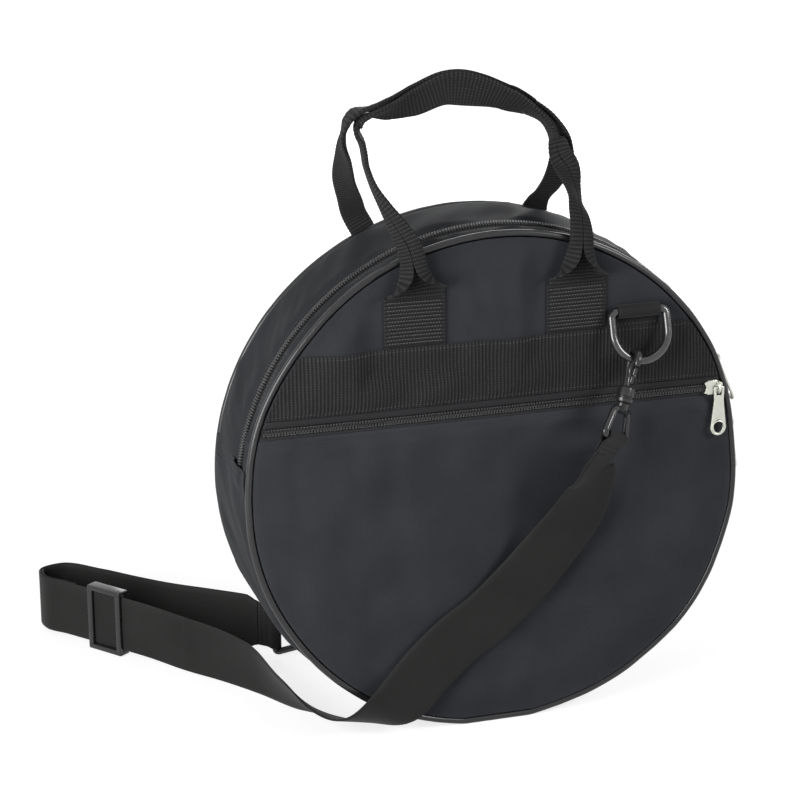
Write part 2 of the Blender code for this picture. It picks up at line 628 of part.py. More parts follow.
def build_webbing():
    """The band across the case, the handle patches and the ring tabs, on both faces."""
    top = BAND_BOTTOM + WEBBING_WIDTH
    low_run = math.sqrt(PANEL_RADIUS ** 2 - BAND_BOTTOM ** 2)
    high_run = math.sqrt(PANEL_RADIUS ** 2 - top ** 2)
    outline = [(-low_run, BAND_BOTTOM), (low_run, BAND_BOTTOM), (high_run, top), (-high_run, top)]
    for face, side in (("front", -1), ("back", 1)):
        plate(face + "_band", [outline], side * WEBBING_Y, side * WEBBING_FACE_Y, WEBBING_BLACK)
        for hand, x in (("left", PATCH_SHIFT - PATCH_SPREAD), ("right", PATCH_SHIFT + PATCH_SPREAD)):
            webbing_block(face + "_handle_patch_" + hand, side, x - WEBBING_WIDTH / 2,
                          x + WEBBING_WIDTH / 2, PATCH_BOTTOM, PATCH_TOP)


def build_ring(face, side, centre_x, tilt_degrees):
    """A D-ring and the webbing tab that holds its bar."""
    bar_z = CENTRE_HEIGHT + RING_BAR_HEIGHT
    bar_y = side * RING_BAR_Y
    tilt = math.radians(tilt_degrees)
    flat = [(-RING_HALF_WIDTH + RING_CORNER, 0.0), (RING_HALF_WIDTH - RING_CORNER, 0.0)]
    for turn in (60.0, 30.0, 0.0):
        corner = math.radians(turn)
        flat.append((RING_HALF_WIDTH - RING_CORNER + RING_CORNER * math.cos(corner),
                     -RING_CORNER + RING_CORNER * math.sin(corner)))
    for x, down in arc_points(RING_HALF_WIDTH, 0.0, -180.0, 15.0):
        flat.append((x, down - RING_STRAIGHT))
    for turn in (180.0, 150.0, 120.0):
        corner = math.radians(turn)
        flat.append((-RING_HALF_WIDTH + RING_CORNER + RING_CORNER * math.cos(corner),
                     -RING_CORNER + RING_CORNER * math.sin(corner)))
    points = []
    for x, down in flat:
        points.append((centre_x + x, bar_y - side * down * math.sin(tilt), bar_z + down * math.cos(tilt)))
    tube("d_ring_" + face, points, RING_WIRE, PLASTIC_BLACK, closed=True)
    half = TAB_WIDTH / 2
    loop_radius = RING_WIRE + GAP + WEBBING_THICKNESS
    tab = rod("ring_tab_" + face, (centre_x - half, bar_y, bar_z), (centre_x + half, bar_y, bar_z),
              loop_radius, WEBBING_BLACK, sides=20)
    faces = sorted((side * WEBBING_Y, side * WEBBING_FACE_Y))
    tail = box("tab_tail_" + face,
               (centre_x - half, faces[0], CENTRE_HEIGHT + BAND_BOTTOM + WEBBING_WIDTH + GAP),
               (centre_x + half, faces[1], bar_z), WEBBING_BLACK)
    combine(tab, tail, "UNION")
    bore = rod("tab_bore_" + face, (centre_x - half - OVERRUN, bar_y, bar_z),
               (centre_x + half + OVERRUN, bar_y, bar_z), RING_WIRE + GAP, WEBBING_BLACK, sides=20)
    combine(tab, bore, "DIFFERENCE")
    return tab


def build_slider(name, pivot, down, out):
    """A slider's outer plate with its bridge, and the pull that hangs from it.

    pivot is the pull bar's centre, down the way the pull hangs, out the way away from the case.
    """
    across = down.cross(out)
    place = frame_matrix(pivot, down, -across, out)
    half = SLIDER_LENGTH / 2
    plate_top = -PULL_THICKNESS / 2 - GAP - PULL_LIFT
    body = box("zip_slider_" + name, (-half, -SLIDER_WIDTH / 2, plate_top - SLIDER_PLATE),
               (half, SLIDER_WIDTH / 2, plate_top), ZINC)
    arch = []
    for i in range(9):
        angle = math.pi * i / 8
        arch.append((math.cos(angle) * BRIDGE_SPAN / 2, 0.0,
                     plate_top + math.sin(angle) * BRIDGE_HEIGHT - SLIDER_PLATE / 2 * (i in (0, 8))))
    bridge = mesh_from_curve(tube("bridge_" + name, arch, BRIDGE_WIRE, ZINC), ZINC)
    bridge.matrix_world = place
    body.matrix_world = place
    combine(body, bridge, "UNION")
    slot_end = PULL_BAR + PULL_SLOT_LENGTH
    neck = PULL_NECK_WIDTH / 2
    wide = PULL_WIDTH / 2
    tip = PULL_LENGTH - wide
    outer = [(-PULL_BAR, -neck), (slot_end + neck, -neck)]
    outer += [(tip + wide * math.sin(math.radians(a)), -wide * math.cos(math.radians(a)))
              for a in range(0, 181, 20)]
    outer += [(slot_end + neck, neck), (-PULL_BAR, neck)]
    slot = PULL_SLOT_WIDTH / 2
    window = [(PULL_BAR, -slot), (PULL_BAR, slot), (slot_end, slot), (slot_end, -slot)]
    hole = [(tip + x, y) for x, y in arc_points(PULL_HOLE_RADIUS, 0.0, 360.0, 24.0)[:-1]]
    data = bpy.data.curves.new("zip_pull_" + name, "CURVE")
    data.dimensions = "2D"
    data.fill_mode = "BOTH"
    data.extrude = PULL_THICKNESS / 2
    for outline in (outer, window, hole):
        line = data.splines.new("POLY")
        line.points.add(len(outline) - 1)
        for spot, (x, y) in zip(line.points, outline):
            spot.co = (x, y, 0.0, 1.0)
        line.use_cyclic_u = True
    pull = add_object("zip_pull_" + name, data, ZINC)
    pull.matrix_world = place


def build_sliders():
    coil_outer = GUSSET_INNER + TAPE_THICKNESS + COIL_HEIGHT
    lift = GAP + SLIDER_PLATE + PULL_LIFT + GAP + PULL_THICKNESS / 2
    for name, degrees in (("upper", UPPER_SLIDER_DEGREES), ("lower", LOWER_SLIDER_DEGREES)):
        angle = math.radians(degrees)
        out = Vector((math.cos(angle), 0.0, math.sin(angle)))
        down = Vector((math.sin(angle), 0.0, -math.cos(angle)))
        pivot = Vector((0.0, ZIP_CENTRE_Y, CENTRE_HEIGHT)) + out * (coil_outer + lift)
        build_slider(name, pivot, down, out)
    coil_front = -HALF_DEPTH - GAP - POCKET_COIL_THICKNESS
    pivot = Vector((POCKET_SLIDER_X, coil_front - lift, CENTRE_HEIGHT + POCKET_COIL_HEIGHT))
    build_slider("pocket", pivot, Vector((0.0, 0.0, -1.0)), Vector((0.0, -1.0, 0.0)))


def build_hook(name, wire_place, down, wire_along, eye_across):
    """A swivel snap hook: claw with barrel, sprung gate, and the swivelling strap eye.

    wire_place is the centre of the wire that the claw holds, down the way from there to the eye.
    """
    up = -down
    across = (wire_along - wire_along.dot(up) * up).normalized()
    forward = up.cross(across)
    claw_centre = wire_place + down * (CLAW_RADIUS - CLAW_WIRE - RING_WIRE - GAP)
    place = frame_matrix(claw_centre, across, forward, up)
    root_y = BARREL_RADIUS - CLAW_WIRE
    path = [(0.0, root_y, -BARREL_TOP - OVERRUN), (0.0, root_y, -BARREL_TOP + OVERRUN),
            (0.0, CLAW_RADIUS, -CLAW_RADIUS)]
    path += [(0.0, y, z) for y, z in arc_points(CLAW_RADIUS, 0.0, 180.0, 22.5)]
    path.append((0.0, -CLAW_RADIUS, -CLAW_WIRE))
    claw = mesh_from_curve(tube("hook_claw_" + name, path, CLAW_WIRE, PLASTIC_BLACK), PLASTIC_BLACK)
    barrel_low = -BARREL_TOP - BARREL_LENGTH
    barrel = rod("barrel_" + name, (0.0, 0.0, barrel_low), (0.0, 0.0, -BARREL_TOP), BARREL_RADIUS,
                 PLASTIC_BLACK)
    socket = rod("socket_" + name, (0.0, 0.0, barrel_low - OVERRUN), (0.0, 0.0, barrel_low + STEM_SEAT),
                 STEM_RADIUS + STEM_CLEARANCE, PLASTIC_BLACK)
    claw.matrix_world = place
    barrel.matrix_world = place
    socket.matrix_world = place
    combine(claw, barrel, "UNION")
    combine(claw, socket, "DIFFERENCE")
    pivot = Vector((0.0, -GATE_PIVOT_FORWARD, -BARREL_TOP + GAP + GATE_WIRE))
    gate_top = Vector((0.0, -CLAW_RADIUS, -CLAW_WIRE - GATE_PLAY))
    gate = rod("hook_gate_" + name, pivot, gate_top, GATE_WIRE, PLASTIC_BLACK, sides=12)
    shape = bmesh.new()
    bmesh.ops.create_uvsphere(shape, u_segments=12, v_segments=8, radius=GATE_WIRE,
                              matrix=Matrix.Translation(pivot))
    knuckle = add_mesh("gate_knuckle_" + name, shape, PLASTIC_BLACK)
    gate.matrix_world = place
    knuckle.matrix_world = place
    combine(gate, knuckle, "UNION")
    eye_turn = (eye_across - eye_across.dot(up) * up).normalized()
    eye_place = frame_matrix(claw_centre, eye_turn, up.cross(eye_turn), up)
    eye_top = barrel_low - GAP - COLLAR_HEIGHT - EYE_NECK
    eye_bottom = eye_top - EYE_HEIGHT
    trapezoid = [(-EYE_TOP_HALF_WIDTH, 0.0, eye_top), (EYE_TOP_HALF_WIDTH, 0.0, eye_top),
                 (EYE_TOP_HALF_WIDTH + EYE_WIRE, 0.0, eye_top - EYE_WIRE),
                 (EYE_BOTTOM_HALF_WIDTH, 0.0, eye_bottom + EYE_WIRE),
                 (EYE_BOTTOM_HALF_WIDTH - EYE_WIRE, 0.0, eye_bottom),
                 (-EYE_BOTTOM_HALF_WIDTH + EYE_WIRE, 0.0, eye_bottom),
                 (-EYE_BOTTOM_HALF_WIDTH, 0.0, eye_bottom + EYE_WIRE),
                 (-EYE_TOP_HALF_WIDTH - EYE_WIRE, 0.0, eye_top - EYE_WIRE)]
    eye_curve = tube("hook_eye_" + name, trapezoid, EYE_WIRE, PLASTIC_BLACK, closed=True)
    eye = mesh_from_curve(eye_curve, PLASTIC_BLACK)
    stem = rod("stem_" + name, (0.0, 0.0, eye_top - EYE_SEAT), (0.0, 0.0, barrel_low + STEM_SEAT - GAP),
               STEM_RADIUS, PLASTIC_BLACK)
    collar_low = eye_top + EYE_WIRE - EYE_SEAT
    collar = rod("collar_" + name, (0.0, 0.0, collar_low), (0.0, 0.0, barrel_low - GAP), COLLAR_RADIUS,
                 PLASTIC_BLACK)
    for piece in (eye, stem, collar):
        piece.matrix_world = eye_place
    combine(eye, stem, "UNION")
    combine(eye, collar, "UNION")
    bar_place = eye_place @ Vector((0.0, 0.0, eye_bottom))
    return bar_place, eye_turn


def build_strap_end(name, bar_place, across, toward):
    """The strap's sewn end: a loop round the eye's bar and a short tail.

    Returns where the loose webbing starts, and its next two points straight on.
    """
    run = toward - bar_place
    run = (run - run.dot(across) * across).normalized()
    face_out = across.cross(run)
    place = frame_matrix(bar_place, across, face_out, run)
    half = STRAP_END_WIDTH / 2
    loop = EYE_WIRE + GAP + WEBBING_THICKNESS
    end = rod("strap_end_" + name, (-half, 0.0, 0.0), (half, 0.0, 0.0), loop, WEBBING_BLACK, sides=20)
    tail = box("strap_tail_" + name, (-half, -WEBBING_THICKNESS, 0.0), (half, WEBBING_THICKNESS,
               STRAP_END_LENGTH), WEBBING_BLACK)
    bore = rod("strap_bore_" + name, (-half - OVERRUN, 0.0, 0.0), (half + OVERRUN, 0.0, 0.0),
               EYE_WIRE + GAP, WEBBING_BLACK, sides=20)
    for piece in (end, tail, bore):
        piece.matrix_world = place
    combine(end, tail, "UNION")
    combine(end, bore, "DIFFERENCE")
    start = bar_place + run * (STRAP_END_LENGTH + 2 * GAP)
    return [(start + run * STRAP_END_LENGTH * i / 4, across) for i in range(3)]


def build_strap(front_bar, front_across, rear_bar, rear_across):
    """One strap, in the stretches that move by themselves, and its second layer past the adjuster."""
    foot_place = Vector((STRAP_FOOT_X, -WEBBING_FACE_Y - STRAP_FOOT_CLEAR, STRAP_FOOT_HEIGHT))
    reach = foot_place - front_bar
    front_route = [(front_bar + Vector((x * reach.x, y * reach.y, z * reach.z)), across)
                   for (x, y, z), across in STRAP_FRONT_SHARES]
    front_end = build_strap_end("front", front_bar, -front_across, front_route[0][0])
    rear_end = build_strap_end("rear", rear_bar, rear_across, Vector(STRAP_LOOP_ROUTE[-1][0]))
    route = front_end + front_route + STRAP_CORNER_ROUTE + STRAP_LOOP_ROUTE + rear_end[::-1]
    places = [Vector(place) for place, across in route]
    marks = spacing_along(places)
    centres = smooth_values(places, marks, STRAP_STEPS)
    acrosses = smooth_values([across for place, across in route], marks, STRAP_STEPS)
    last = len(centres) - 1
    taper = STRAP_STEPS + STRAP_STEPS // 2
    widths = [STRAP_END_WIDTH + (WEBBING_WIDTH - STRAP_END_WIDTH) * min(1.0, min(i, last - i) / taper)
              for i in range(last + 1)]
    foot = (len(front_route) + 2) * STRAP_STEPS
    turn = foot + len(STRAP_CORNER_ROUTE) * STRAP_STEPS
    half_layer = WEBBING_THICKNESS / 2 + GAP / 2
    inner = [-half_layer] * len(centres)
    for name, span in (("strap_front", (0, foot)), ("strap_corner", (foot, turn)),
                       ("strap_loop", (turn, last))):
        ribbon(name, centres, acrosses, widths, WEBBING_THICKNESS, inner, span)
    outer = [half_layer] * len(centres)
    past_glide = turn + 3 * STRAP_STEPS - 1
    ribbon("strap_adjust_layer", centres, acrosses, widths, WEBBING_THICKNESS, outer, (past_glide, last))


def build_glide():
    """The slide adjuster: two rails, two end bars outside the strap and a centre bar inside it."""
    outward = Vector((0.0, 0.0, 1.0)).cross(GLIDE_ALONG)
    place = frame_matrix(GLIDE_PLACE, GLIDE_ALONG, outward, Vector((0.0, 0.0, 1.0)))
    layer = WEBBING_THICKNESS + GAP
    half_strap = WEBBING_WIDTH / 2 + GAP
    half_depth = layer + GAP + GLIDE_BAR_THICKNESS
    half = GLIDE_LENGTH / 2
    glide = box("slide_adjuster", (-half, -half_depth, half_strap),
                (half, half_depth, half_strap + GLIDE_RAIL), PLASTIC_BLACK)
    glide.matrix_world = place
    pieces = [((-half, -half_depth, -half_strap - GLIDE_RAIL), (half, half_depth, -half_strap))]
    join = half_strap + GLIDE_RAIL / 2
    for low in (-half, half - GLIDE_BAR):
        pieces.append(((low, layer + GAP, -join), (low + GLIDE_BAR, half_depth, join)))
    pieces.append(((-GLIDE_BAR / 2, -half_depth, -join), (GLIDE_BAR / 2, -layer - GAP, join)))
    order = pieces[1:] + pieces[:1]
    for i, (low, high) in enumerate(order):
        piece = box("glide_piece_%d" % i, low, high, PLASTIC_BLACK)
        piece.matrix_world = place
        combine(glide, piece, "UNION")


def handle_width(spread):
    """The folded webbing's width where it spreads to a foot (1), on a leg (0) or on the grip (-1)."""
    if spread < 0.0:
        return HANDLE_LEG_WIDTH - (HANDLE_GRIP_WIDTH - HANDLE_LEG_WIDTH) * spread
    return HANDLE_LEG_WIDTH + (HANDLE_FOOT_WIDTH - HANDLE_LEG_WIDTH) * spread


def build_handle(name, left_leg, right_leg, layer):
    """One handle; the two lie together along the grip, each to its own side of the middle."""
    places = []
    acrosses = []
    sizes = []
    for (x, y, rise), across, spread in left_leg + GRIP_SHARES + right_leg:
        places.append(Vector((PATCH_SHIFT + x * PATCH_SPREAD, y * HANDLE_FOOT_Y,
                              CENTRE_HEIGHT + HANDLE_FOOT + rise * HANDLE_RISE)))
        acrosses.append(across)
        sizes.append(Vector((handle_width(spread), 0.0, 0.0)))
    first = len(left_leg)
    last = first + len(GRIP_SHARES) - 1
    for i in range(first, last + 1):
        sizes[i].y = layer * GRIP_PARTING_SHARES[min(i - first, last - i, len(GRIP_PARTING_SHARES) - 1)]
        places[i].y -= math.copysign(HANDLE_STAGGER, layer)
    marks = spacing_along(places)
    middles = smooth_values(places, marks, HANDLE_STEPS)
    turns = smooth_values(acrosses, marks, HANDLE_STEPS)
    run = smooth_values(sizes, marks, HANDLE_STEPS)
    return ribbon(name, middles, turns, [size.x for size in run], HANDLE_THICKNESS, [size.y for size in run])


def main():
    reach = CASE_RADIUS * 2
    ground = box("floor_cutter", (-reach, -reach, -reach), (reach, reach, 0.0), CLOTH_BLACK)
    build_panels()
    build_pocket()
    build_gusset(ground)
    build_piping()
    build_webbing()
    build_ring("front", -1, RING_CENTRE_X, RING_TILT_DEGREES)
    build_ring("back", 1, -RING_CENTRE_X, 0.0)
    build_sliders()
    tilt = math.radians(RING_TILT_DEGREES)
    drop = RING_HALF_WIDTH + RING_STRAIGHT
    bow = Vector((RING_CENTRE_X - HOOK_ON_BOW_X, -RING_BAR_Y - drop * math.sin(tilt),
                  CENTRE_HEIGHT + RING_BAR_HEIGHT - drop * math.cos(tilt)))
    bow_rise = RING_HALF_WIDTH - math.sqrt(RING_HALF_WIDTH ** 2 - HOOK_ON_BOW_X ** 2)
    bow += Vector((0.0, math.sin(tilt), math.cos(tilt))) * bow_rise
    front_bar, front_across = build_hook("front", bow, FRONT_HOOK_DOWN, Vector((1.0, 0.0, 0.0)),
                                         FRONT_EYE_ACROSS)
    rear_bar, rear_across = build_hook("rear", REAR_HOOK_PLACE, REAR_HOOK_DOWN, Vector((0.0, 0.0, 1.0)),
                                       REAR_EYE_ACROSS)
    build_strap(front_bar, front_across, rear_bar, rear_across)
    build_glide()
    build_handle("handle_front", FRONT_LEFT_LEG_SHARES, FRONT_RIGHT_LEG_SHARES, HANDLE_LAYER)
    build_handle("handle_back", BACK_LEFT_LEG_SHARES, BACK_RIGHT_LEG_SHARES, -HANDLE_LAYER)


main()
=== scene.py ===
"""The dressed scene of a round soft case for a hand drum, standing on its edge.

Metres, +Z up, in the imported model's own frame. Cloth, webbing, zips and hardware are each built over
their solids, and ride on the same bodies.
"""
import json
import math

import bmesh
import bpy
from mathutils import Matrix, Vector, noise


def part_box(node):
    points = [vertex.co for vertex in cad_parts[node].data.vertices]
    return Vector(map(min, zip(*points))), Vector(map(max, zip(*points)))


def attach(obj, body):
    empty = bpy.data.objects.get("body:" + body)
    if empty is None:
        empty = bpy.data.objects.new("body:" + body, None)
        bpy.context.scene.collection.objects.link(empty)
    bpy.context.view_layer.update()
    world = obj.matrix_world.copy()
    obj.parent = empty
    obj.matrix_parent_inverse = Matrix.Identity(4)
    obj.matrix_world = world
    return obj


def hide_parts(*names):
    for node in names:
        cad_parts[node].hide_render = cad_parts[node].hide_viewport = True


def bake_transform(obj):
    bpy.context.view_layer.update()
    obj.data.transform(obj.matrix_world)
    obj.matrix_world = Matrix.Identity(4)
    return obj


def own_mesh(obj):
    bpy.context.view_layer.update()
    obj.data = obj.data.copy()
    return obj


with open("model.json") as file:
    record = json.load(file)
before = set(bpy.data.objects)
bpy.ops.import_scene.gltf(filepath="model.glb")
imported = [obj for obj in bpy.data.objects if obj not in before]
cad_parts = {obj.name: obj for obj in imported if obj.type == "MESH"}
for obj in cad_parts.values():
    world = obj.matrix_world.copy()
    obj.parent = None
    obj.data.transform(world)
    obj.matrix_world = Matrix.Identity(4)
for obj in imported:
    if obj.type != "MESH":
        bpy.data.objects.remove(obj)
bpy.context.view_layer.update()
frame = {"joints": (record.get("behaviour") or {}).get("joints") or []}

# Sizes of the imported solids
GAP = 0.0003
STANDING_CHORD = 0.045
CASE_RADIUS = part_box("back_piping")[1].x
CENTRE_HEIGHT = math.sqrt(CASE_RADIUS ** 2 - (STANDING_CHORD / 2) ** 2)
PANEL_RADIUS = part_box("back_panel")[1].x
PANEL_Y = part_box("back_panel")[1].y
NYLON = PANEL_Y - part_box("back_panel")[0].y
PANEL_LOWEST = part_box("back_panel")[0].z - CENTRE_HEIGHT
PAD_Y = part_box("back_padding")[1].y
LINING_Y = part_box("back_lining")[0].y
LINING_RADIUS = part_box("back_lining")[1].x
POCKET_INNER_Y = -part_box("front_panel_lower")[0].y
POCKET_PAD_Y = -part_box("front_padding_lower")[0].y
FOLD_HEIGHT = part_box("front_panel_upper")[0].z - CENTRE_HEIGHT
POCKET_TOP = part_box("pocket_panel")[1].z - CENTRE_HEIGHT
BAND_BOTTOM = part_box("front_band")[0].z - CENTRE_HEIGHT
BAND_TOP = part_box("front_band")[1].z - CENTRE_HEIGHT
WEBBING_Y = -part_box("front_band")[1].y
WEBBING_FACE_Y = -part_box("front_band")[0].y
WEBBING_THICKNESS = WEBBING_FACE_Y - WEBBING_Y
WEBBING_WIDTH = BAND_TOP - BAND_BOTTOM
COIL_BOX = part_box("pocket_zip_coil")
PIPING_RADIUS = 0.0023
PIPING_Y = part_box("back_piping")[1].y - PIPING_RADIUS
PIPING_RING_RADIUS = CASE_RADIUS - PIPING_RADIUS
GUSSET_OUTER = CASE_RADIUS - 0.001
GUSSET_INNER = GUSSET_OUTER - NYLON
GUSSET_HALF_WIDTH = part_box("gusset_lower")[1].y
PAD_HALF_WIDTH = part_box("gusset_lower_padding")[1].y
FOAM = 0.0032
LINING = 0.0006
ZIP_START_DEGREES = -3.0
ZIP_END_DEGREES = 174.0
ZIP_CENTRE_Y = -0.0195
ZIP_REAR_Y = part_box("zip_half_rear")[1].y
ZIP_FRONT_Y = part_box("zip_half_front")[0].y
COIL_HALF = 0.0027
TAPE_OUTER = GUSSET_INNER + 0.0008
COIL_OUTER = TAPE_OUTER + 0.0022

# Hardware sizes, as packed
RING_WIRE = 0.00275
RING_HALF_WIDTH = 0.019
RING_STRAIGHT = 0.014
RING_CORNER = 0.004
RING_TILT_DEGREES = 19.0
CLAW_RADIUS = 0.007
CLAW_WIRE = 0.0025
BARREL_RADIUS = 0.006
BARREL_TOP = 0.0162
BARREL_LENGTH = 0.011
STEM_RADIUS = 0.0021
STEM_SEAT = 0.006
COLLAR_RADIUS = 0.0042
COLLAR_HEIGHT = 0.0015
EYE_WIRE = 0.0024
EYE_TOP_HALF_WIDTH = 0.011
EYE_BOTTOM_HALF_WIDTH = 0.0198
EYE_NECK = 0.0033
EYE_HEIGHT = 0.018
GATE_WIRE = 0.0017
GATE_PIVOT_FORWARD = 0.004
GATE_PLAY = 0.0013
FRONT_EYE_ACROSS = Vector((0.616, 0.663, -0.424))
REAR_EYE_ACROSS = Vector((0.0, 0.0, 1.0))
SLIDER_LENGTH = 0.013
SLIDER_WIDTH = 0.0096
SLIDER_PLATE = 0.0014
PULL_LIFT = 0.0004
BRIDGE_WIRE = 0.0009
BRIDGE_SPAN = 0.007
BRIDGE_HEIGHT = 0.0034
PULL_LENGTH = 0.033
PULL_WIDTH = 0.011
PULL_NECK_WIDTH = 0.0074
PULL_THICKNESS = 0.0014
PULL_BAR = 0.0008
PULL_SLOT_LENGTH = 0.0043
PULL_SLOT_WIDTH = 0.0036
PULL_HOLE_RADIUS = 0.0033
PULL_HOLE_STRETCH = 1.4
PULL_HOLE_SHIFT = 0.0008
UPPER_SLIDER_DEGREES = 21.5
LOWER_SLIDER_DEGREES = 5.5
POCKET_PLATE_TURN = 90.0
POCKET_PLATE_SHIFT = -0.0032
GLIDE_LENGTH = 0.030
GLIDE_BAR = 0.0042
GLIDE_RAIL = 0.0036
GLIDE_BAR_THICKNESS = 0.0026
GLIDE_PLACE = Vector((-0.2205, 0.1610, 0.0243))

# Straps and handles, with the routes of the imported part
STRAP_END_WIDTH = 0.0325
STRAP_END_LENGTH = 0.013
STRAP_FOOT = Vector((-0.0740, -WEBBING_FACE_Y - 0.0065, 0.0260))
HANDLE_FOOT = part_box("front_handle_patch_left")[1].z - CENTRE_HEIGHT + GAP
HANDLE_RISE = CASE_RADIUS + 0.086 - HANDLE_FOOT
HANDLE_THICKNESS = 0.0030
HANDLE_FOOT_Y = WEBBING_Y + GAP + HANDLE_THICKNESS / 2
HANDLE_LAYER = HANDLE_THICKNESS / 2 + 0.0003
HANDLE_STAGGER = 0.0012
HANDLE_FOOT_WIDTH = 0.038
HANDLE_LEG_WIDTH = 0.018
HANDLE_GRIP_WIDTH = 0.0205
PATCH_SHIFT = -0.002
PATCH_SPREAD = 0.0545
STRAP_FRONT_SHARES = [
    ((0.101, 0.215, 0.183), (-0.70, -0.45, 0.55)),
    ((0.150, 0.565, 0.305), (-0.78, -0.20, 0.58)),
    ((0.279, 0.890, 0.463), (-0.77, -0.05, 0.63)),
    ((0.398, 0.990, 0.574), (-0.73, 0.00, 0.68)),
    ((0.565, 1.040, 0.699), (-0.60, 0.00, 0.80)),
    ((0.711, 1.040, 0.779), (-0.60, 0.00, 0.80)),
    ((0.856, 1.040, 0.886), (-0.72, 0.00, 0.69)),
    ((1.000, 1.000, 1.000), (-0.80, -0.10, 0.59)),
]
STRAP_CORNER_ROUTE = [
    ((-0.0960, -0.0370, 0.0125), (-0.76, -0.50, 0.36)),
    ((-0.1130, -0.0140, 0.0110), (-0.70, -0.42, 0.48)),
    ((-0.1290, 0.0100, 0.0168), (-0.50, -0.28, 0.80)),
    ((-0.1430, 0.0460, 0.0212), (-0.20, -0.10, 0.97)),
    ((-0.1600, 0.0780, 0.0220), (-0.06, -0.03, 1.00)),
    ((-0.1790, 0.1035, 0.0228), (0.0, 0.0, 1.0)),
]
STRAP_LOOP_ROUTE = [
    ((-0.1960, 0.1267, 0.0243), (0.0, 0.0, 1.0)),
    ((-0.2205, 0.1610, 0.0243), (0.0, 0.0, 1.0)),
    ((-0.2435, 0.1932, 0.0240), (0.0, 0.0, 1.0)),
    ((-0.2540, 0.2110, 0.0225), (0.0, 0.0, 1.0)),
    ((-0.2530, 0.2290, 0.0218), (0.0, 0.0, 1.0)),
    ((-0.2380, 0.2350, 0.0215), (0.0, 0.0, 1.0)),
    ((-0.2130, 0.2150, 0.0212), (0.0, 0.0, 1.0)),
    ((-0.1920, 0.1915, 0.0212), (0.0, 0.0, 1.0)),
    ((-0.1740, 0.1720, 0.0215), (0.0, 0.0, 1.0)),
    ((-0.1500, 0.1490, 0.0225), (0.0, 0.0, 1.0)),
]
FRONT_LEFT_LEG_SHARES = [
    ((-1.000, -1.00, 0.000), (1.00, 0.00, 0.00), 1.0),
    ((-1.000, -1.00, 0.014), (1.00, 0.00, 0.00), 1.0),
    ((-1.000, -1.00, 0.028), (1.00, 0.00, 0.00), 1.0),
    ((-1.009, -1.03, 0.065), (1.00, 0.00, 0.05), 0.75),
    ((-1.028, -1.06, 0.121), (0.97, -0.10, 0.20), 0.25),
    ((-1.055, -1.09, 0.202), (0.95, -0.20, 0.20), 0.0),
    ((-1.119, -1.09, 0.299), (0.85, -0.50, 0.15), 0.0),
    ((-1.229, -1.04, 0.391), (0.60, -0.80, 0.10), 0.0),
    ((-1.339, -0.94, 0.476), (0.20, -0.95, 0.20), 0.0),
    ((-1.422, -0.76, 0.557), (-0.10, -0.95, 0.20), 0.0),
    ((-1.455, -0.52, 0.646), (-0.20, -0.95, 0.10), 0.0),
    ((-1.446, -0.26, 0.743), (-0.15, -1.00, 0.00), 0.0),
]
GRIP_SHARES = [
    ((-1.514, 0.00, 0.831), (-0.12, -1.00, 0.00), 0.0),
    ((-1.450, 0.00, 0.880), (-0.05, -1.00, 0.00), 0.0),
    ((-1.303, 0.00, 0.900), (0.00, -0.95, 0.25), 0.0),
    ((-1.037, 0.00, 0.912), (0.00, -0.70, 0.70), 0.0),
    ((-0.752, 0.00, 0.944), (0.00, -0.30, 0.95), -1.0),
    ((-0.367, 0.00, 0.997), (0.00, -0.05, 1.00), -1.0),
    ((0.037, 0.00, 0.973), (0.00, -0.15, 0.98), -1.0),
    ((0.367, 0.00, 0.928), (0.00, -0.50, 0.85), 0.0),
    ((0.679, 0.00, 0.864), (0.00, -0.85, 0.50), 0.0),
    ((0.917, 0.00, 0.791), (0.00, -0.98, 0.20), 0.0),
    ((1.055, 0.00, 0.694), (0.15, -1.00, 0.00), 0.0),
]
FRONT_RIGHT_LEG_SHARES = [
    ((1.024, -0.16, 0.613), (0.60, -0.80, 0.00), 0.0),
    ((1.079, -0.28, 0.549), (0.95, -0.20, 0.00), 0.0),
    ((1.083, -0.44, 0.484), (0.80, 0.60, 0.00), 0.0),
    ((1.073, -0.66, 0.412), (0.55, 0.83, 0.00), 0.0),
    ((1.055, -0.92, 0.331), (0.85, 0.45, 0.00), 0.0),
    ((1.028, -1.08, 0.234), (1.00, 0.10, 0.00), 0.0),
    ((1.006, -1.07, 0.137), (1.00, 0.00, 0.00), 0.25),
    ((1.000, -1.03, 0.065), (1.00, 0.00, 0.00), 0.75),
    ((1.000, -1.00, 0.028), (1.00, 0.00, 0.00), 1.0),
    ((1.000, -1.00, 0.014), (1.00, 0.00, 0.00), 1.0),
    ((1.000, -1.00, 0.000), (1.00, 0.00, 0.00), 1.0),
]
BACK_LEFT_LEG_SHARES = [
    ((-1.000, 1.00, 0.000), (1.00, 0.00, 0.00), 1.0),
    ((-1.000, 1.00, 0.014), (1.00, 0.00, 0.00), 1.0),
    ((-1.000, 1.00, 0.028), (1.00, 0.00, 0.00), 1.0),
    ((-1.028, 1.03, 0.073), (1.00, 0.00, 0.05), 0.75),
    ((-1.110, 1.08, 0.161), (1.00, -0.02, 0.15), 0.0),
    ((-1.239, 1.06, 0.266), (0.95, -0.15, 0.30), 0.0),
    ((-1.358, 0.80, 0.379), (0.75, -0.60, 0.30), 0.0),
    ((-1.483, 0.55, 0.508), (0.55, -0.80, 0.20), 0.0),
    ((-1.541, 0.30, 0.638), (0.25, -0.95, 0.10), 0.0),
    ((-1.578, 0.16, 0.743), (-0.10, -1.00, 0.00), 0.0),
]
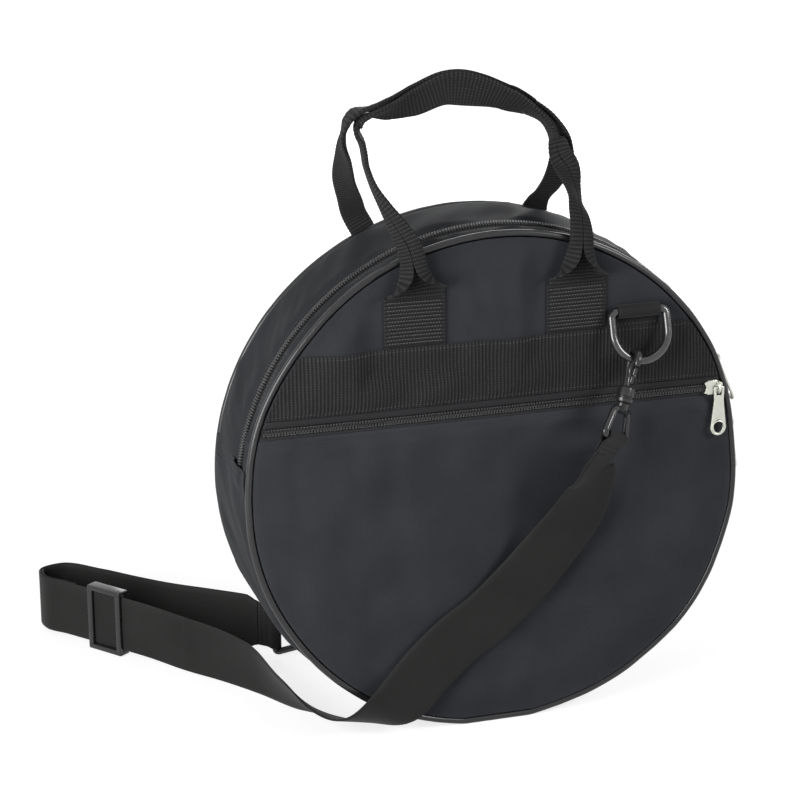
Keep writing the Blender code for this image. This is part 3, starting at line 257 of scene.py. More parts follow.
BACK_RIGHT_LEG_SHARES = [
    ((1.145, 0.13, 0.605), (0.60, -0.80, 0.00), 0.0),
    ((1.161, 0.27, 0.533), (0.90, -0.35, 0.00), 0.0),
    ((1.149, 0.45, 0.444), (1.00, -0.15, 0.10), 0.0),
    ((1.110, 0.68, 0.355), (1.00, 0.00, 0.10), 0.0),
    ((1.064, 0.95, 0.274), (1.00, 0.00, 0.05), 0.0),
    ((1.028, 1.07, 0.178), (1.00, 0.00, 0.00), 0.25),
    ((1.000, 1.03, 0.065), (1.00, 0.00, 0.00), 0.75),
    ((1.000, 1.00, 0.028), (1.00, 0.00, 0.00), 1.0),
    ((1.000, 1.00, 0.014), (1.00, 0.00, 0.00), 1.0),
    ((1.000, 1.00, 0.000), (1.00, 0.00, 0.00), 1.0),
]
GRIP_PARTING_SHARES = (2.0, 1.35, 1.0)
GRIP_TOP = 6
GRIP_START = 2
GRIP_OVERLAP = 0.004

# Detail of the cloth and webbing
RIB_PITCH = 0.0024
RIB_HEIGHT = 0.00045
RIB_STEPS = 5
THREAD_PITCH = 0.0016
STITCH_LENGTH = 0.0015
STITCH_RADIUS = 0.00022
TOOTH_PITCH = 0.0019
BINDING_RADIUS = 0.0014
FLOOR_CLEAR = 0.0004

# The front ring's soft bends, out from a true circle, by degrees round the case
RING_BENDS = [(-78.0, 0.0), (-55.0, 0.0025), (-38.0, 0.0045), (-15.0, 0.0015), (6.0, -0.0022), (30.0, 0.0),
              (100.0, 0.0005), (122.0, 0.0018), (140.0, 0.0010), (160.0, 0.0022), (182.0, 0.0),
              (215.0, -0.0014), (245.0, 0.0), (282.0, 0.0)]

# Places on the faces that stay flat, under the patches, feet and rings: middle x, height, half sizes
FLAT_PLACES = {
    -1: [(-0.0565, 0.128, 0.026, 0.040), (0.0525, 0.128, 0.026, 0.040), (0.094, 0.088, 0.028, 0.034)],
    1: [(-0.0565, 0.128, 0.026, 0.040), (0.0525, 0.128, 0.026, 0.040), (-0.094, 0.088, 0.028, 0.034)],
}

# Creases of the front's cloth: from (x, height) to (x, height), how far out, and how wide
CREASES = [
    (-0.0290, 0.1180, -0.0050, 0.0900, -0.0011, 0.0055), (-0.0200, 0.1190, 0.0040, 0.0920, 0.0009, 0.0060),
    (-0.0200, 0.1430, -0.0110, 0.1200, -0.0008, 0.0050), (-0.0110, 0.1440, -0.0030, 0.1220, 0.0008, 0.0060),
    (0.0180, 0.1440, 0.0170, 0.1180, -0.0009, 0.0060), (0.0290, 0.1420, 0.0270, 0.1180, 0.0008, 0.0060),
    (-0.1380, 0.0330, -0.1370, -0.0120, -0.0013, 0.0060), (-0.1250, 0.0340, -0.1230, -0.0100, 0.0010, 0.0080),
    (-0.0990, 0.0340, -0.0970, 0.0000, -0.0011, 0.0070), (-0.0840, 0.0340, -0.0820, 0.0020, 0.0010, 0.0090),
    (-0.1060, 0.1060, -0.0900, 0.1290, 0.0010, 0.0070), (-0.0480, -0.0900, -0.0900, -0.0500, 0.0012, 0.0120),
]

# Camera, from the photograph
CAMERA_AZIMUTH = -18.944
CAMERA_ELEVATION = 19.354
CAMERA_DISTANCE = 2.04
CAMERA_LENS = 138.1
CAMERA_SHIFT = (-0.0975, 0.0798)

# Light
WORLD_FILL = 0.12
LAMP_TARGET = (0.0, 0.0, 0.17)
LAMPS = [("left", (-0.86, -0.52, 0.42), 0.6, 12.5), ("right", (1.10, -1.00, 0.95), 0.5, 14.0),
         ("top", (-0.4, 0.2, 1.9), 1.2, 3.5), ("back", (0.7, 1.5, 0.55), 1.0, 10.0)]

# The line on which the front flap folds, and the stretches of the front round it
FOLD_SPREAD = 0.012
FOLD_STRIP_INSET = 0.001
FOLD_LOW_DEGREES = 14.5
FOLD_HIGH_DEGREES = 36.0
BENDS_RIGHT = (FOLD_LOW_DEGREES, FOLD_HIGH_DEGREES)
FLAP_SPAN = (FOLD_HIGH_DEGREES, 180.0 - FOLD_HIGH_DEGREES)
BENDS_LEFT = (180.0 - FOLD_HIGH_DEGREES, 180.0 - FOLD_LOW_DEGREES)
FRONT_SPANS = (("right", (ZIP_START_DEGREES, FOLD_LOW_DEGREES), "case"), ("fold_right", BENDS_RIGHT, "fold"),
               ("", FLAP_SPAN, "front_flap"), ("fold_left", BENDS_LEFT, "fold"),
               ("left", (180.0 - FOLD_LOW_DEGREES, ZIP_END_DEGREES), "case"))

# Swells of the cloth: depth, cells across and up, and the noise's own place
SWELL_OUT = 0.0030
SWELL_EDGE = 0.022
SWELL_CLOUDS = ((0.0046, 17.0, 13.0, 3.7, 0.0), (0.0026, 42.0, 27.0, 8.1, 2.0))
FLAT_FADE = 0.016
COIL_MIDDLE = (COIL_BOX[0].z + COIL_BOX[1].z) / 2 - CENTRE_HEIGHT
ZIP_FLAT = (0.005, 0.016)
BENT_FROM_Y = -0.026
BENT_TO_Y = -0.037
LOW_CUT_SHARE = 0.9995
HIGH_CUT_SHARE = 0.9992
POCKET_CREASE = 0.0009
POCKET_CREASE_DROP = 0.0055
POCKET_CREASE_WIDTH = 0.0028
POCKET_FADE = 0.03
POCKET_OUT = 0.0016
POCKET_CLOUD = 0.0026
QUILT_ROUND = 0.0011
QUILT_CLOUD = 0.0002
WALL_PAD_ROUND = 0.0012
HEM_INSET = 0.0012
HEM_DROP = 0.0009
HEM_PROUD = 0.0003
WALL_OUT = 0.0015
WALL_WAVE = 0.0026
WALL_CREASE = 0.0012

# The wall's laps, the zips' turns and the seams
LAP_SLANT = 1.2
LAP_PROUD = 0.0014
LAP_OVER_COIL = 0.0004
LAP_THICKNESS = 0.0008
LAP_SEAM_INSET = 0.003
LAP_SEAM_DEGREES = 1.3
LAP_SEAM_PROUD = 0.0018
TOOTH_REACH = 0.0002
TOOTH_SHARE = 0.36
TOOTH_ROUND = 0.0005
TOOTH_ROUNDING = 0.0003
POCKET_TOOTH_ROUNDING = 0.0002
TAPE_STITCH_PITCH = 0.0026
TAPE_STITCH_INSET = 0.0013
TAPE_STITCH_LENGTH = 0.0017
COIL_SEAM_SHARE = 0.72
COIL_STITCH_PITCH = 0.0021
COIL_STITCH_LENGTH = 0.0011
COIL_STITCH_RADIUS = 0.00020
STITCH_SHARES = ((-1.0, 0.25), (-0.6, 1.0), (0.6, 1.0), (1.0, 0.25))
BAND_END_INSET = 0.0004
BAND_TOP_INSET = 0.0002
BAND_SEAM_INSET = 0.0022
BAND_SEAM_DEPTH = 0.0001
SEAM_EDGE_INSET = 0.003
PATCH_SEAM_INSET = 0.0022
PATCH_STITCH_RADIUS = 0.00024
TAB_SEAM_INSET = 0.002
TAB_SEAM_RISE = 0.0016
TAB_SEAM_PROUD = 0.0004

# The handles' folded webbing, and the strap's loop round an eye
FOLDED_DEGREES = 172.0
FOLDED_BEND = 0.0033
FOLDED_CENTRE = 0.00105
FOLDED_ROOM = 0.0021
FOLDED_THICKNESS = 0.0012
GRIP_SLEEVE = 0.0004
GRIP_CRUMPLE = 0.0022
STRAP_LOOP_DEGREES = 52.0

# Forms of the hardware; a profile gives how far along, and the share of the radius
RING_BAR_STOPS = (-0.014, -0.008, 0.0, 0.008, 0.014)
CLAW_TIP_SHARES = [0.96, 0.9, 0.7]
BARREL_FOOT_PROFILE = ((0.0, 0.80), (0.0006, 0.95), (0.002, 1.0), (0.0028, 1.0), (0.0032, 0.90),
                       (0.0040, 0.90), (0.0044, 1.0))
BARREL_HEAD_PROFILE = ((0.0035, 0.97), (0.001, 0.90), (0.0003, 0.72), (0.0, 0.45))
GATE_SHARES = ((0.0, 0.75), (0.12, 1.0), (0.3, 0.85), (0.6, 0.85), (0.9, 0.9), (1.0, 0.7))
THUMB_SHARES = ((0.4, 0.7), (0.8, 0.8), (1.2, 0.7), (1.4, 0.3))
EYE_CORNER = 0.0034
SLIDER_SIDE_SHARES = [(-1.0, -0.72), (-0.55, -1.0), (0.35, -0.96), (0.9, -0.62), (1.0, -0.45)]
SLIDER_NOTCH_SHARES = [(-0.8, 0.16), (-0.8, -0.16)]
PULL_RIM_OUT = 0.0009
PULL_RIM_STRETCH = 1.08
PULL_RIM_WIRE = 0.00045
GLIDE_WAY = Vector((-0.581, 0.814, 0.0))

# Texture of the materials
MOTTLE_DETAIL = 3.0
MOTTLE_SCALE = 26.0
THREAD_SHARE = 0.4
FUZZ_SCALE = 900.0
FUZZ_SHARE = 0.35
RIB_LIGHT_SCALE = 700.0
RIB_TOP_SHADE = 0.42
RIB_VALLEY_SHADE = 0.62
GRAIN_SCALE = 1400.0
SMUDGE_SCALE = 160.0
SPECKLE_SCALE = 220.0

# Edges, fades and unevenness of the smaller pieces
QUILT_EDGE = 0.012
QUILT_CELLS = 40.0
WALL_EDGE = 0.006
WALL_PAD_CLEAR_DEGREES = 0.2
WALL_CLEAR_DEGREES = 0.1
LAP_LEFT_SPAN = (ZIP_END_DEGREES - 3.0, ZIP_END_DEGREES + 5.0)
LAP_RIGHT_SPAN = (ZIP_START_DEGREES + 0.8, ZIP_START_DEGREES - 6.0)
LAP_COIL_FADE = (0.005, 0.011)
LAP_WAVE = 0.0004
PIPING_SWAY = 0.0002
PIPING_LEAST_SHARE = 0.985
PIPING_UNEVEN_SHARE = 0.03
HEM_WAVE = 0.0001
POCKET_CREASE_FADE = 0.003
POCKET_CREASE_EDGE = 0.02
BAND_EDGE = 0.0015
PATCH_EDGE = 0.002
PATCH_STITCHES = 19
PATCH_STITCH_LENGTH = 0.0014
PATCH_STITCH_UNEVEN = 0.0006
PATCH_SEAM_TOP = 0.001
GRIP_EDGE = 0.006
STRAP_STEPS = 260
STRAP_SAG = 0.00025
STRAP_SEAM_SHARES = (0.62, 0.88)
STRAP_SEAM_INSET = 0.003
STRAP_SEAM_STITCHES = 12
SLIDER_BEVEL = 0.00035
PULL_BEVEL = 0.0003
GLIDE_RAIL_BEVEL = 0.0009
GLIDE_BAR_BEVEL = 0.0007

# Stage
FLOOR_ROUGHNESS = 0.9
FLOOR_FADE = (0.4, 1.8)
FLOOR_GLOW = (0.76, 1.0)
CAMERA_SENSOR = 36.0
FLOOR_SIZE = 12.0
FLOOR_GREY = (0.36, 0.36, 0.36, 1.0)
WHITE = (1.0, 1.0, 1.0, 1.0)

JOINTS = {joint["name"]: joint for joint in frame["joints"]}


def joint_place(name):
    return Vector(JOINTS[name]["pos_m"])


def joint_axis(name):
    return Vector(JOINTS[name]["axis"]).normalized()


def smoothstep(low, high, value):
    share = min(1.0, max(0.0, (value - low) / (high - low)))
    return share * share * (3.0 - 2.0 * share)


def cloud(x, y, z):
    """Soft noise between -1 and 1."""
    return noise.noise(Vector((x, y, z)))


# Materials


def add_node(tree, kind, inputs=None, **settings):
    """A shader node with its settings, and its inputs set or linked."""
    item = tree.nodes.new(kind)
    for key, value in settings.items():
        setattr(item, key, value)
    for key, value in (inputs or {}).items():
        if isinstance(value, bpy.types.NodeSocket):
            tree.links.new(value, item.inputs[key])
        else:
            item.inputs[key].default_value = value
    return item


def maths(tree, operation, first, second=0.0, third=0.0):
    item = add_node(tree, "ShaderNodeMath", {0: first, 1: second, 2: third}, operation=operation)
    return item.outputs[0]


def scaled(tree, colour, scale):
    item = add_node(tree, "ShaderNodeVectorMath", {0: colour, "Scale": scale}, operation="SCALE")
    return item.outputs[0]


def spotted(tree, place, scale, detail):
    item = add_node(tree, "ShaderNodeTexNoise", {"Vector": place, "Scale": scale, "Detail": detail})
    return item.outputs["Fac"]


def waves(tree, position, pitch, phase=0.0):
    """A wave from 0 to 1 along a position in metres."""
    turn = maths(tree, "MULTIPLY_ADD", position, 2.0 * math.pi / pitch, phase)
    return maths(tree, "MULTIPLY_ADD", maths(tree, "SINE", turn), 0.5, 0.5)


def new_material(name):
    material = bpy.data.materials.new(name)
    material.use_nodes = True
    tree = material.node_tree
    return material, tree, tree.nodes["Principled BSDF"]


def mottled(tree, colour, place, scale, spread):
    """The colour made lighter and darker by soft noise."""
    factor = spotted(tree, place, scale, MOTTLE_DETAIL)
    ramp = add_node(tree, "ShaderNodeMix", {"Factor": factor}, data_type="RGBA", clamp_factor=True)
    ends = [socket for socket in ramp.inputs if socket.type == "RGBA"]
    for socket, share in zip(ends, (1.0 - spread, 1.0 + spread)):
        socket.default_value = (*(channel * share for channel in colour), 1.0)
    return [socket for socket in ramp.outputs if socket.type == "RGBA"][0]


def join_surface(tree, shader, base, wear_and_shading_gain, rough, spread, roughness, relief, constants):
    """Edges lighter by pointiness, partly rubbed wear and partly painted edge highlight, and hollows darker
    as painted shade; uneven roughness and fine relief, and the shader's own constants.
    """
    # Painted light: convex edges painted lighter as edge highlight and rubbed wear, concave hollows painted
    # darker as shade
    pointiness_wear_and_shading = add_node(tree, "ShaderNodeNewGeometry").outputs["Pointiness"]
    worn_and_shaded_edges = maths(tree, "MULTIPLY_ADD", maths(tree, "SUBTRACT", pointiness_wear_and_shading, 0.5), wear_and_shading_gain, 1.0)
    tree.links.new(scaled(tree, base, worn_and_shaded_edges), shader.inputs["Base Color"])
    uneven = maths(tree, "MULTIPLY_ADD", rough, spread, roughness - spread / 2)
    tree.links.new(uneven, shader.inputs["Roughness"])
    strength, distance, height = relief
    lift = add_node(tree, "ShaderNodeBump", {"Strength": strength, "Distance": distance, "Height": height})
    tree.links.new(lift.outputs[0], shader.inputs["Normal"])
    for key, value in constants.items():
        shader.inputs[key].default_value = value


def woven(name, colour, pitch_across, pitch_along, contrast, bump, roughness, sheen, mottle=0.16, ribs=0.0):
    """Cloth or webbing: two sets of threads over and under, soft mottling that is partly random tone and
    partly painted light and shade of small creases, fuzz and a little sheen.

    With ribs, rows of dots along each rib's top are painted lighter as painted highlight, and the valleys
    between ribs are painted darker as painted shade.
    """
    material, tree, shader = new_material(name)
    marks = add_node(tree, "ShaderNodeUVMap", uv_map="weave")
    parts = add_node(tree, "ShaderNodeSeparateXYZ", {0: marks.outputs[0]})
    place = add_node(tree, "ShaderNodeTexCoord").outputs["Object"]
    across = waves(tree, parts.outputs[0], pitch_across)
    along = waves(tree, parts.outputs[1], pitch_along)
    over = waves(tree, parts.outputs[0], pitch_across * 2.0)
    under = waves(tree, parts.outputs[1], pitch_along * 2.0)
    threads = maths(tree, "MULTIPLY", maths(tree, "ADD", across, along), THREAD_SHARE)
    height = maths(tree, "MULTIPLY_ADD", maths(tree, "MULTIPLY", over, under), THREAD_SHARE, threads)
    fuzz = spotted(tree, place, FUZZ_SCALE, 2.0)
    height = maths(tree, "MULTIPLY_ADD", fuzz, FUZZ_SHARE, height)
    # Soft mottling: partly random tone, partly painted patches of light and shade that stand for the cloth's
    # small creases
    base = mottled(tree, colour, place, MOTTLE_SCALE, mottle)
    base = scaled(tree, base, maths(tree, "MULTIPLY_ADD", height, contrast, 1.0 - contrast))
    if ribs:
        # Painted highlight in dots on the rib tops, and painted shade in the valleys between them
        ridge = waves(tree, parts.outputs[1], RIB_PITCH, -math.pi / 2)
        dots = waves(tree, parts.outputs[0], THREAD_PITCH)
        patchy = maths(tree, "POWER", spotted(tree, place, RIB_LIGHT_SCALE, 1.0), 1.5)
        painted_dot_highlight = maths(tree, "MULTIPLY", maths(tree, "POWER", ridge, 2.0), maths(tree, "POWER", dots, 2.0))
        painted_rib_light_and_shade = maths(tree, "MULTIPLY_ADD", ridge, RIB_TOP_SHADE, RIB_VALLEY_SHADE)
        painted_rib_light_and_shade = maths(tree, "MULTIPLY_ADD", maths(tree, "MULTIPLY", painted_dot_highlight, patchy), ribs, painted_rib_light_and_shade)
        base = scaled(tree, base, painted_rib_light_and_shade)
    constants = {"Sheen Weight": sheen, "Sheen Roughness": 0.45, "Specular IOR Level": 0.06}
    join_surface(tree, shader, base, 2.2, fuzz, 0.14, roughness, (0.55, bump, height), constants)
    return material


def moulded(name, colour, roughness, grain, coat=0.0, metallic=0.0, spread=0.12):
    """Plastic, vinyl or metal: fine moulding grain, faint mottling, and edges lighter by pointiness, partly
    rubbed wear and partly painted highlight, with painted shade in hollows.
    """
    material, tree, shader = new_material(name)
    place = add_node(tree, "ShaderNodeTexCoord").outputs["Object"]
    fine = spotted(tree, place, GRAIN_SCALE, 3.0)
    broad = spotted(tree, place, SMUDGE_SCALE, 4.0)
    base = mottled(tree, colour, place, SPECKLE_SCALE, spread)
    constants = {"Metallic": metallic, "Specular IOR Level": 0.35, "Coat Weight": coat,
                 "Coat Roughness": 0.18}
    join_surface(tree, shader, base, 3.0, broad, 0.18, roughness, (0.4, grain, fine), constants)
    return material


CLOTH = woven("front_nylon", (0.0305, 0.0325, 0.0370), 0.0011, 0.0011, 0.22, 0.00010, 0.60, 0.03, 0.30)
# The wall's nylon is the same cloth as the front's; its darker base colour is painted shade, for the lesser
# light on the wall
GUSSET_CLOTH_PAINTED_DARKER = woven("gusset_nylon", (0.0225, 0.0240, 0.0265), 0.0011, 0.0011, 0.22, 0.00010, 0.70, 0.02,
                     0.34)
RIBBED = woven("ribbed_webbing", (0.023, 0.023, 0.0232), 0.0010, RIB_PITCH / 2, 0.25, 0.00014, 0.72, 0.04,
               ribs=2.6)
STRAP_WEB = woven("strap_webbing", (0.021, 0.0207, 0.0203), 0.0013, 0.0009, 0.24, 0.00012, 0.62, 0.06, 0.26)
LINING_CLOTH = woven("lining_taffeta", (0.024, 0.024, 0.027), 0.0007, 0.0007, 0.20, 0.00006, 0.50, 0.12)
TAPE_CLOTH = woven("zip_tape", (0.029, 0.0295, 0.031), 0.0009, 0.0009, 0.28, 0.00008, 0.75, 0.04)
VINYL = moulded("piping_vinyl", (0.013, 0.013, 0.014), 0.30, 0.00002, coat=0.10)
PLASTIC = moulded("hook_plastic", (0.014, 0.014, 0.015), 0.24, 0.000015, coat=0.15)
RING_ENAMEL = moulded("ring_enamel", (0.016, 0.016, 0.017), 0.15, 0.00001, coat=0.9)
COIL = moulded("zip_coil", (0.010, 0.010, 0.010), 0.50, 0.00002)
ZINC = moulded("slider_metal", (0.51, 0.52, 0.465), 0.33, 0.00002, metallic=0.75, spread=0.06)
THREAD = moulded("thread", (0.075, 0.075, 0.076), 0.60, 0.00004)
DARK_THREAD = moulded("dark_thread", (0.038, 0.038, 0.039), 0.60, 0.00004)


# Mesh building


class Shape:
    """Points, faces and texture places of one mesh while it is made."""

    def __init__(self):
        self.points = []
        self.faces = []
        self.marks = []

    def add(self, point):
        self.points.append(Vector(point))
        return len(self.points) - 1

    def face(self, corners, marks=None):
        self.faces.append(corners)
        self.marks.append(marks or [(0.0, 0.0)] * len(corners))

    def include(self, mesh, place):
        """Take in the faces of a mesh, moved to a place."""
        start = len(self.points)
        for vertex in mesh.vertices:
            self.add(place @ vertex.co)
        for polygon in mesh.polygons:
            self.face([start + corner for corner in polygon.vertices])
        bpy.data.meshes.remove(mesh)


def finish_shape(name, shape, material, body, nodes=(), sharp=42.0):
    """Make the object in its nodes' place. It rides on its body; a piece over the flap's fold has its place
    baked in and rides on none.
    """
    data = bpy.data.meshes.new(name)
    data.from_pydata(shape.points, [], shape.faces)
    layer = data.uv_layers.new(name="weave")
    flat = [value for marks in shape.marks for mark in marks for value in mark]
    layer.data.foreach_set("uv", flat)
    edit = bmesh.new()
    edit.from_mesh(data)
    bmesh.ops.recalc_face_normals(edit, faces=edit.faces)
    edit.to_mesh(data)
    edit.free()
    data.materials.append(material)
    data.shade_smooth()
    data.set_sharp_from_angle(angle=math.radians(sharp))
    item = bpy.data.objects.new(name, data)
    bpy.context.scene.collection.objects.link(item)
    if body == "fold":
        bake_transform(item)
    elif body:
        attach(item, body)
    if nodes:
        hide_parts(*nodes)
    return item


def add_grid(shape, rows, columns, place):
    """A closed sheet with rims: place(u, v) gives its outer point, inner point and mark at two shares."""
    cells = [[place(i / rows, j / columns) for j in range(columns + 1)] for i in range(rows + 1)]
    top, low = ([[shape.add(cell[k]) for cell in row] for row in cells] for k in (0, 1))
    marks = [[cell[2] for cell in row] for row in cells]
    for i in range(rows):
        for j in range(columns):
            spots = ((i, j), (i + 1, j), (i + 1, j + 1), (i, j + 1))
            shape.face([top[a][b] for a, b in spots], [marks[a][b] for a, b in spots])
            back = spots[::-1]
            shape.face([low[a][b] for a, b in back], [marks[a][b] for a, b in back])
    rim = [(0, j) for j in range(columns + 1)] + [(i, columns) for i in range(1, rows + 1)]
    rim += [(rows, j) for j in range(columns - 1, -1, -1)] + [(i, 0) for i in range(rows - 1, 0, -1)]
    for (a, b), (c, d) in zip(rim, rim[1:] + rim[:1]):
        corners = [top[a][b], top[c][d], low[c][d], low[a][b]]
        shape.face(corners, [marks[a][b], marks[c][d], marks[c][d], marks[a][b]])


def loft(shape, rings, rounds, runs, closed=False):
    """Skin rings of points; rounds are places round a ring, with a closing one, and runs along."""
    count = len(rings[0])
    made = [[shape.add(point) for point in ring] for ring in rings]
    runs = list(runs)
    if closed:
        made.append(made[0])
        runs.append(runs[-1] + GAP)
    for i in range(len(made) - 1):
        for k in range(count):
            n = (k + 1) % count
            shape.face([made[i][k], made[i][n], made[i + 1][n], made[i + 1][k]],
                       [(rounds[k], runs[i]), (rounds[k + 1], runs[i]), (rounds[k + 1], runs[i + 1]),
                        (rounds[k], runs[i + 1])])
    if not closed:
        shape.face(made[0][::-1], [(rounds[k], runs[0]) for k in range(count)][::-1])
        shape.face(made[-1], [(rounds[k], runs[-1]) for k in range(count)])


def distances(places):
    marks = [0.0]
    for here, there in zip(places, places[1:]):
        marks.append(marks[-1] + (there - here).length)
    return marks


def values_at(values, marks, stops):
    """Values on a smooth curve through those given at the marks, at each stop along it."""
    values = [Vector(value) for value in values]
    last = len(values) - 1
    rates = [(values[i + 1] - values[i]) / (marks[i + 1] - marks[i]) for i in range(last)]
    slopes = [rates[0]]
    for i in range(1, last):
        before = marks[i] - marks[i - 1]
        after = marks[i + 1] - marks[i]
        slopes.append((rates[i] * before + rates[i - 1] * after) / (before + after))
    slopes.append(rates[-1])
    found = []
    i = 0
    for stop in stops:
        while i < last - 1 and stop > marks[i + 1]:
            i += 1
        run = marks[i + 1] - marks[i]
        t = (stop - marks[i]) / run
        found.append((2 * t ** 3 - 3 * t ** 2 + 1) * values[i] + (t ** 3 - 2 * t ** 2 + t) * run * slopes[i]
                     + (3 * t ** 2 - 2 * t ** 3) * values[i + 1] + (t ** 3 - t ** 2) * run * slopes[i + 1])
    return found


def way_along(places, i):
    """The way a path runs at one of its places."""
    return (places[min(i + 1, len(places) - 1)] - places[max(i - 1, 0)]).normalized()


def arc(radius, start, end, steps, middle=(0.0, 0.0)):
    """Points (x, y) on a round stretch between two angles in degrees."""
    turns = [math.radians(start + (end - start) * i / steps) for i in range(steps + 1)]
    return [(middle[0] + radius * math.cos(turn), middle[1] + radius * math.sin(turn)) for turn in turns]


def tube(shape, points, radius, sides=14, normal=None, closed=False, shares=None):
    """A round wire along points, its radius times each share; normal is the way out of a flat path."""
    rings = []
    side = None
    for i, point in enumerate(points):
        if closed:
            along = (points[(i + 1) % len(points)] - points[i - 1]).normalized()
        else:
            along = way_along(points, i)
        if normal is not None:
            side = normal
        elif side is None:
            side = along.orthogonal()
        side = (side - side.dot(along) * along).normalized()
        other = along.cross(side)
        size = radius * shares[i] if shares else radius
        rings.append([point + size * (math.cos(a) * side + math.sin(a) * other)
                      for a in (2.0 * math.pi * k / sides for k in range(sides))])
    rounds = [2.0 * math.pi * radius * k / sides for k in range(sides + 1)]
    loft(shape, rings, rounds, distances(points), closed)


def bevelled_box(shape, low, high, bevel, place, segments=2):
    """A box with rounded edges, moved to a place."""
    edit = bmesh.new()
    low = Vector(low)
    high = Vector(high)
    size = Matrix.Diagonal((*(high - low), 1.0))
    bmesh.ops.create_cube(edit, size=1.0, matrix=Matrix.Translation((low + high) / 2) @ size)
    bmesh.ops.bevel(edit, geom=list(edit.edges), offset=bevel, segments=segments, profile=0.5,
                    affect="EDGES")
    mesh = bpy.data.meshes.new("box")
    edit.to_mesh(mesh)
    edit.free()
    shape.include(mesh, place)


def stitch(shape, middle, along, out, length=STITCH_LENGTH, radius=STITCH_RADIUS):
    """One stitch of thread: a short rounded bar that stands half out of the cloth."""
    side = along.cross(out)
    rings = []
    for share, size in STITCH_SHARES:
        centre = middle + along * (share * length / 2)
        rings.append([centre + size * radius * (x * side + y * out) for x, y in arc(1.0, 0.0, 300.0, 5)])
    loft(shape, rings, [0.0] * 7, [0.0] * 4)


def frame_matrix(place, across, forward, up):
    return Matrix.Translation(place) @ Matrix((across, forward, up)).transposed().to_4x4()


# The case's own shape


def ring_bend(degrees):
    """How far the front ring stands out from a true circle there."""
    first = RING_BENDS[0][0]
    degrees = (degrees - first) % 360.0 + first
    for (start, low), (end, high) in zip(RING_BENDS, RING_BENDS[1:]):
        if start <= degrees <= end:
            return low + (high - low) * smoothstep(start, end, degrees)
    return 0.0


def case_point(radius, degrees, y, floor=None):
    """A point on or in the case, with the front ring's bends and the flat stand on the floor."""
    angle = math.radians(degrees)
    bend = ring_bend(degrees) * smoothstep(BENT_FROM_Y, BENT_TO_Y, y) * (radius / CASE_RADIUS) ** 3
    reach = radius + bend
    if floor is None:
        floor = FLOOR_CLEAR + max(0.0, GUSSET_OUTER - radius)
    return Vector((reach * math.cos(angle), y, max(floor, CENTRE_HEIGHT + reach * math.sin(angle))))


def panel_point(x, height, y):
    """A point of a flat panel, which follows the front ring's bends near its edge."""
    return case_point(math.hypot(x, height), math.degrees(math.atan2(height, x)), y, floor=0.0)


def flat_share(side, x, height):
    """0 where a piece lies on the face, 1 well away from all of them."""
    share = 1.0
    for middle, level, half_x, half_height in FLAT_PLACES[side]:
        away = max(abs(x - middle) - half_x, abs(height - level) - half_height)
        share = min(share, smoothstep(0.0, FLAT_FADE, away))
    return share


def creased(x, height):
    """The sum of the creases' own shapes at a place on the front."""
    lift = 0.0
    spot = Vector((x, height))
    for start_x, start_height, end_x, end_height, depth, width in CREASES:
        start = Vector((start_x, start_height))
        run = Vector((end_x, end_height)) - start
        share = min(1.0, max(0.0, (spot - start).dot(run) / run.length_squared))
        away = (spot - start - run * share).length
        fade = 0.5 + 0.5 * math.sin(math.pi * (0.15 + 0.7 * share))
        lift += depth * math.exp(-(away / width) ** 2) * fade
    return lift


def swell(side, x, height):
    """How far the cloth's soft hollows and swells stand out from the flat face."""
    edge = smoothstep(0.0, SWELL_EDGE, PANEL_RADIUS - math.hypot(x, height))
    out = SWELL_OUT
    for depth, cells_across, cells_up, seed, shift in SWELL_CLOUDS:
        out += depth * cloud(x * cells_across, height * cells_up, seed * side + shift)
    zip_share = 1.0
    if side < 0:
        zip_share = smoothstep(*ZIP_FLAT, abs(height - COIL_MIDDLE))
        out += creased(x, height)
    return max(0.0, out) * edge * zip_share * flat_share(side, x, height)


def front_swell(x, height):
    return swell(-1, x, height)


def back_swell(x, height):
    return swell(1, x, height)


def pocket_swell(x, height):
    """The pocket's cloth swells more, with a soft crease under its zip."""
    below = POCKET_TOP - height
    inward = PANEL_RADIUS - math.hypot(x, height)
    crease = POCKET_CREASE * math.exp(-((below - POCKET_CREASE_DROP) / POCKET_CREASE_WIDTH) ** 2)
    crease *= 1.0 + cloud(x * 30, 0, 5)
    crease *= smoothstep(0.0, POCKET_CREASE_FADE, below) * smoothstep(0.0, POCKET_CREASE_EDGE, inward)
    soft = smoothstep(0.0, POCKET_FADE, below) * smoothstep(0.0, POCKET_FADE, inward)
    broad = max(0.0, POCKET_OUT + POCKET_CLOUD * cloud(x * 12.0, height * 10.0, 21.0))
    return crease + soft * broad + swell(-1, x, height) * 0.8


def add_face_sheet(shape, side, low, high, radius, layer, columns=110, step=0.0025, low_cut=LOW_CUT_SHARE):
    """A sheet of a face between two heights, cut round; layer(x, height) gives its outer and inner y."""
    low_turn = math.asin(max(low, -radius * low_cut) / radius)
    high_turn = math.asin(min(high, radius * HIGH_CUT_SHARE) / radius)

    def place(along, across):
        turn = low_turn + (high_turn - low_turn) * along
        height = radius * math.sin(turn)
        x = radius * math.cos(turn) * (2.0 * across - 1.0)
        outer_y, inner_y = layer(x, height)
        return panel_point(x, height, side * outer_y), panel_point(x, height, side * inner_y), (x, height)

    add_grid(shape, max(4, int((high_turn - low_turn) * radius / step)), columns, place)


def cloth_layer(y, puff):
    """The outer and inner y of a face's cloth, with its swells."""
    def layer(x, height):
        out = y + (puff(x, height) if puff else 0.0)
        return out, out - NYLON
    return layer


def padded_layer(outer_y):
    """The outer and inner y of lined padding: rounded at its edge and a little uneven."""
    def layer(x, height):
        inward = LINING_RADIUS - math.hypot(x, height)
        rounded = QUILT_ROUND * (1.0 - smoothstep(0.0, QUILT_EDGE, inward))
        return outer_y, LINING_Y + rounded - QUILT_CLOUD * cloud(x * QUILT_CELLS, height * QUILT_CELLS, 9.0)
    return layer


